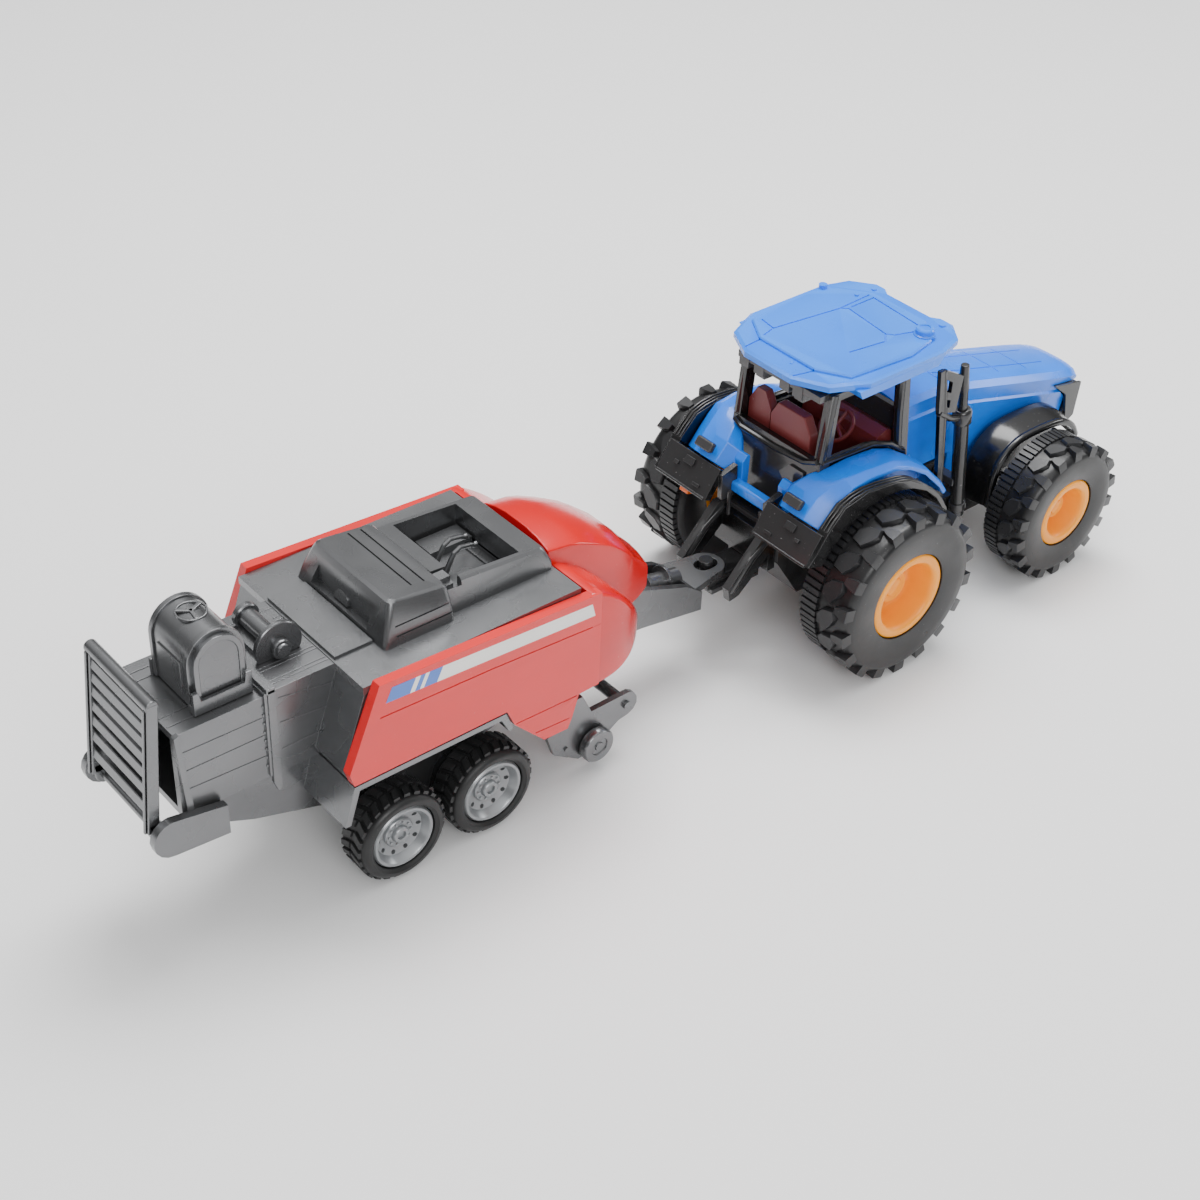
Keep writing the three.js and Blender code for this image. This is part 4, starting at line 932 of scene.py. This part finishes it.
BLUE_BLOCKS = [stripe_block(-195.6, -187.7), stripe_block(-186, -184.4), stripe_block(-183, -178.6)]
WHITE_BLOCKS = [stripe_block(-187.7, -186), stripe_block(-184.4, -183),
                stripe_block(-178.6, -121.8, front_lean=-1.2)]
PANEL_FACE = 35.4  # the panel's outer side
for sign, side in SIDES:
    lines = [g for line, width in (
        ([(-197.4, 68.6), (-158.8, 67.3), (-121, 65.1), (-119, 65)], 0.4),
        ([(-150.5, 42.5), (-127.9, 41.9)], 0.35), ([(-143.2, 35.2), (-130.7, 34.5)], 0.35))
        for g in path_grooves("y", line, width, 35, 36)]
    piece(f"panel_{side}", on_side(sign, [cut(prism("y", PANEL, 32.1, PANEL_FACE), *lines)]), RED, "baler",
          (f"side_panel_{side}",), bevel=1.2, steps=4, angle=32)
    piece(f"shoulder_{side}", on_side(sign, [skin([shoulder_ring(*row) for row in SHOULDER])]), RED,
          "baler", angle=50)
    for color, blocks, look, face in (("blue", BLUE_BLOCKS, DECAL_BLUE, 35.48),
                                      ("white", WHITE_BLOCKS, DECAL_WHITE, 35.46)):
        piece(f"stripe_{color}_{side}", on_side(sign, [prism("y", b, 35.3, face) for b in blocks]), look,
              "baler", bevel=0.03, steps=1)

# Rings of the nose: x, half width, top, crease along the side, and foot.
NOSE = [(-124.2, 16, 84.8, 82.4, 48.2), (-116, 16.2, 84, 81.4, 48.2), (-111.5, 16.2, 82.8, 80, 48),
        (-105, 16.1, 79.9, 77, 46.4), (-100, 16, 77.2, 74.2, 45.2), (-95.5, 15.6, 74, 71, 44.8),
        (-92, 15.2, 71.2, 68.2, 44.6), (-90, 14.9, 69.2, 66.4, 44.6), (-88.4, 14.4, 66.7, 64, 44.6),
        (-85, 13.3, 63.5, 61, 44.8), (-81.6, 12, 60, 57.6, 45.2), (-80.4, 11.6, 58.4, 56.2, 46),
        (-79.8, 11, 56.6, 55, 47.2)]


def nose_ring(x, half, top, crease, low):
    side = [(half - 0.9, low), (half - 0.1, low + 1.6), (half, (low + crease) / 2), (half, crease - 1.6),
            (half - 0.3, crease - 0.5), (half - 1.3, crease), (half * 0.62, (crease + 2 * top) / 3),
            (half * 0.3, top)]
    return [(x, y, z) for y, z in side + [(-y, z) for y, z in reversed(side)]]


piece("nose", [skin([nose_ring(*row) for row in NOSE])], RED, "baler", ("nose_hood",), bevel=0.4, steps=3,
      angle=22)

# ---- deck housing


def housing_ring(height, x0, x1, half, soft):
    """A rectangle with rounded corners, its height a function of x."""
    corner = []
    for cx, cy, start in ((x1 - soft, half - soft, 0), (x0 + soft, half - soft, 90),
                          (x0 + soft, soft - half, 180), (x1 - soft, soft - half, 270)):
        corner += arc(cx, cy, soft, start, start + 90, 4)
    return [(x, y, height(x)) for x, y in corner]


def level(z):
    return lambda x: z


def hood_top(x):
    return 91.2 - (x + 182) * 0.112


def front_top(x):
    return 88 - (x + 162.4) * 0.07


rear_hood = skin([housing_ring(*row) for row in (
    (level(77.6), -187, -162.4, 22.6, 1.6), (level(82.5), -185.7, -162.4, 21.5, 1.6),
    (lambda x: hood_top(x) - 2.4, -183.2, -162.4, 19.7, 1.8),
    (lambda x: hood_top(x) - 0.7, -182.5, -162.6, 19, 1.8), (hood_top, -181.4, -163.4, 18.2, 1.6))])
front_hood = skin([housing_ring(*row) for row in (
    (level(77.6), -170, -124.6, 19.6, 1.6), (level(80.5), -170, -124.8, 19.2, 1.6),
    (lambda x: front_top(x) - 0.8, -170, -126.6, 17.6, 1.4), (front_top, -170, -127.4, 16.8, 1.2))])
bin_room = box(-157.4, -134.8, -15.5, 15.5, 77.3, 100)
louvres = [groove("y", (-182, z), (-162.4, z), 0.45, -24, inner) for z, inner in ((81.1, -21.4), (84, -20.7))]
top_slots = [box(x - 0.3, x + 0.3, -14.5, 17, hood_top(x) - 0.7, 95) for x in (-172, -167.6)]
rear_recess = prism("x", [(-13, 80), (15.2, 80), (13.6, 86.4), (-11.4, 86.4), (-12, 84), (-13, 83.6)],
                    -190, -184.2)
latch_room = box(-163.6, -157, -17.9, -10.2, 84.6, 95)
housing = cut(joined(rear_hood, front_hood), bin_room, *both(*louvres), *top_slots, rear_recess, latch_room)
tab = skin([[(-184.4 + (z - 80) * 0.3 - out, y, z) for y, z in arc(2, 80.4, 3.4, 0, 180, 16)]
            for out in (0, 0.9)])
deck_plate = cut(box(-200.4, -124.6, -31.9, 31.9, 75.9, 78.3), bin_room)
deck = [deck_plate, housing, tab,
        prism("z", [(-199.6, -16.9), (-187, -16.9), (-187, 17.4), (-199.6, 17.4)], 77.8, 79.2),
        box(-150.6, -135.4, 6.4, 14.4, 77.2, 79.6), box(-150.2, -135.2, -12.6, -10.4, 77.2, 78.2),
        box(-163.2, -158.6, -16, -10.8, 80, 85.8), box(-163.2, -158.6, -14.4, -10.8, 85, 87.4),
        *[box(x, x + 0.7, -12, 6, 77.2, 77.9) for x in (-155, -153, -139)]]
for y in (3.2, -1.8):
    deck.append(rod([(-151.4, y, 77), (-149.4, y, 81), (-148, y, 83.4), (-145.8, y + 0.1, 84.5),
                     (-142, y + 0.5, 83.6), (-140.4, y + 0.6, 82.8), (-139.4, y + 0.7, 82.9)],
                    [0.9, 0.8, 0.75, 0.75, 0.75, 0.8, 0.9], 12))
piece("deck", deck, GREY, "baler", ("deck_housing",), bevel=0.4, angle=28)

# ---- pickup and gauge wheels

part("pickup", "pickup_frame", GREY, "baler", bevel=0.4, adds=both(*[
    rod([(x, y0, z), (x, y1, z)], r, sides)
    for x, z, y0, y1, r, sides in ((-99.5, 18, 24.6, 27, 1.4, 14), (-123.6, 12, 25.6, 26.6, 0.8, 12))]))
GAUGE = (-113, 10)  # middle of the gauge wheels
for sign, side in SIDES:
    disc = spun([(5.4, 26.4), (6, 27), (6, 29.2), (5.5, 29.8), (3.2, 29.8), (3, 29.4), (1.6, 29.4),
                 (1.4, 29.8)], *GAUGE, 44)
    stub = spun([(1, 23.2), (1, 26.6)], *GAUGE, 20)
    name = f"gauge_wheel_{side}"
    piece(f"gauge_{side}", on_side(sign, [disc, stub]), GREY, name, (name,), angle=40)

# ---- stage, light and camera

# From here on lengths are in the frame's metres.
HALF_FLOOR, FLOOR_Z = 3, -0.0002
mesh = bpy.data.meshes.new("floor")
mesh.from_pydata([(x * HALF_FLOOR, y * HALF_FLOOR, 0) for x, y in ((-1, -1), (1, -1), (1, 1), (-1, 1))],
                 [], [(0, 1, 2, 3)])
floor = add_object("floor", mesh)
floor.location.z = FLOOR_Z
stone = Nodes("pale_floor")
pale = stone.settings({"Roughness": 0.7})
stone.link(stone.mix(stone.noise(4, 2), (0.86, 0.86, 0.86), (0.9, 0.9, 0.9)), pale["Base Color"])
mesh.materials.append(stone.material)

world = bpy.data.worlds.new("studio")
bpy.context.scene.world = world
world.use_nodes = True
sky = world.node_tree
where = sky.nodes.new("ShaderNodeTexCoord")
parts = sky.nodes.new("ShaderNodeSeparateXYZ")
fade = sky.nodes.new("ShaderNodeMapRange")
set_range(fade, 0.35, 0.95, 0.22, 1.5)  # dim at the sides, brighter overhead
sky.links.new(where.outputs["Generated"], parts.inputs["Vector"])
sky.links.new(parts.outputs["Z"], fade.inputs["Value"])
sky.links.new(fade.outputs["Result"], sky.nodes["Background"].inputs["Strength"])
sky.nodes["Background"].inputs["Color"].default_value = (1, 1, 1, 1)


def softbox(name, where, size, power):
    """A rectangular lamp aimed at the object's middle."""
    light = bpy.data.lights.new(name, "AREA")
    light.shape = "RECTANGLE"
    light.size, light.size_y = size
    light.energy = power
    made = add_object(name, light)
    made.location = where
    made.rotation_euler = (Vector((0, 0, 0.05)) - Vector(where)).to_track_quat("-Z", "Y").to_euler()


softbox("key", (0.25, 0.25, 1.0), (0.7, 0.5), 13)
softbox("side", (-0.5, -1.0, 0.75), (0.8, 0.35), 7)
softbox("front", (1.1, -0.3, 0.5), (0.4, 0.3), 3)

AZIMUTH, ELEVATION, ROLL = (radians(a) for a in (-40.9539, 36.7483, 2.3926))
EYE = (-0.362196, -0.390187, 0.424846)
back = Vector((sin(AZIMUTH) * cos(ELEVATION), -cos(AZIMUTH) * cos(ELEVATION), sin(ELEVATION)))
right = (-back).cross(Vector((0, 0, 1))).normalized()
up = back.cross(right)
cam_x = right * cos(ROLL) + up * sin(ROLL)
cam_y = up * cos(ROLL) - right * sin(ROLL)
optics = bpy.data.cameras.new("camera")
optics.sensor_width, optics.lens = 36, 60.524
optics.clip_start, optics.clip_end = 0.01, 20
camera = add_object("camera", optics)
camera.matrix_world = Matrix((*zip(cam_x, cam_y, back, EYE), (0, 0, 0, 1)))
bpy.context.scene.camera = camera
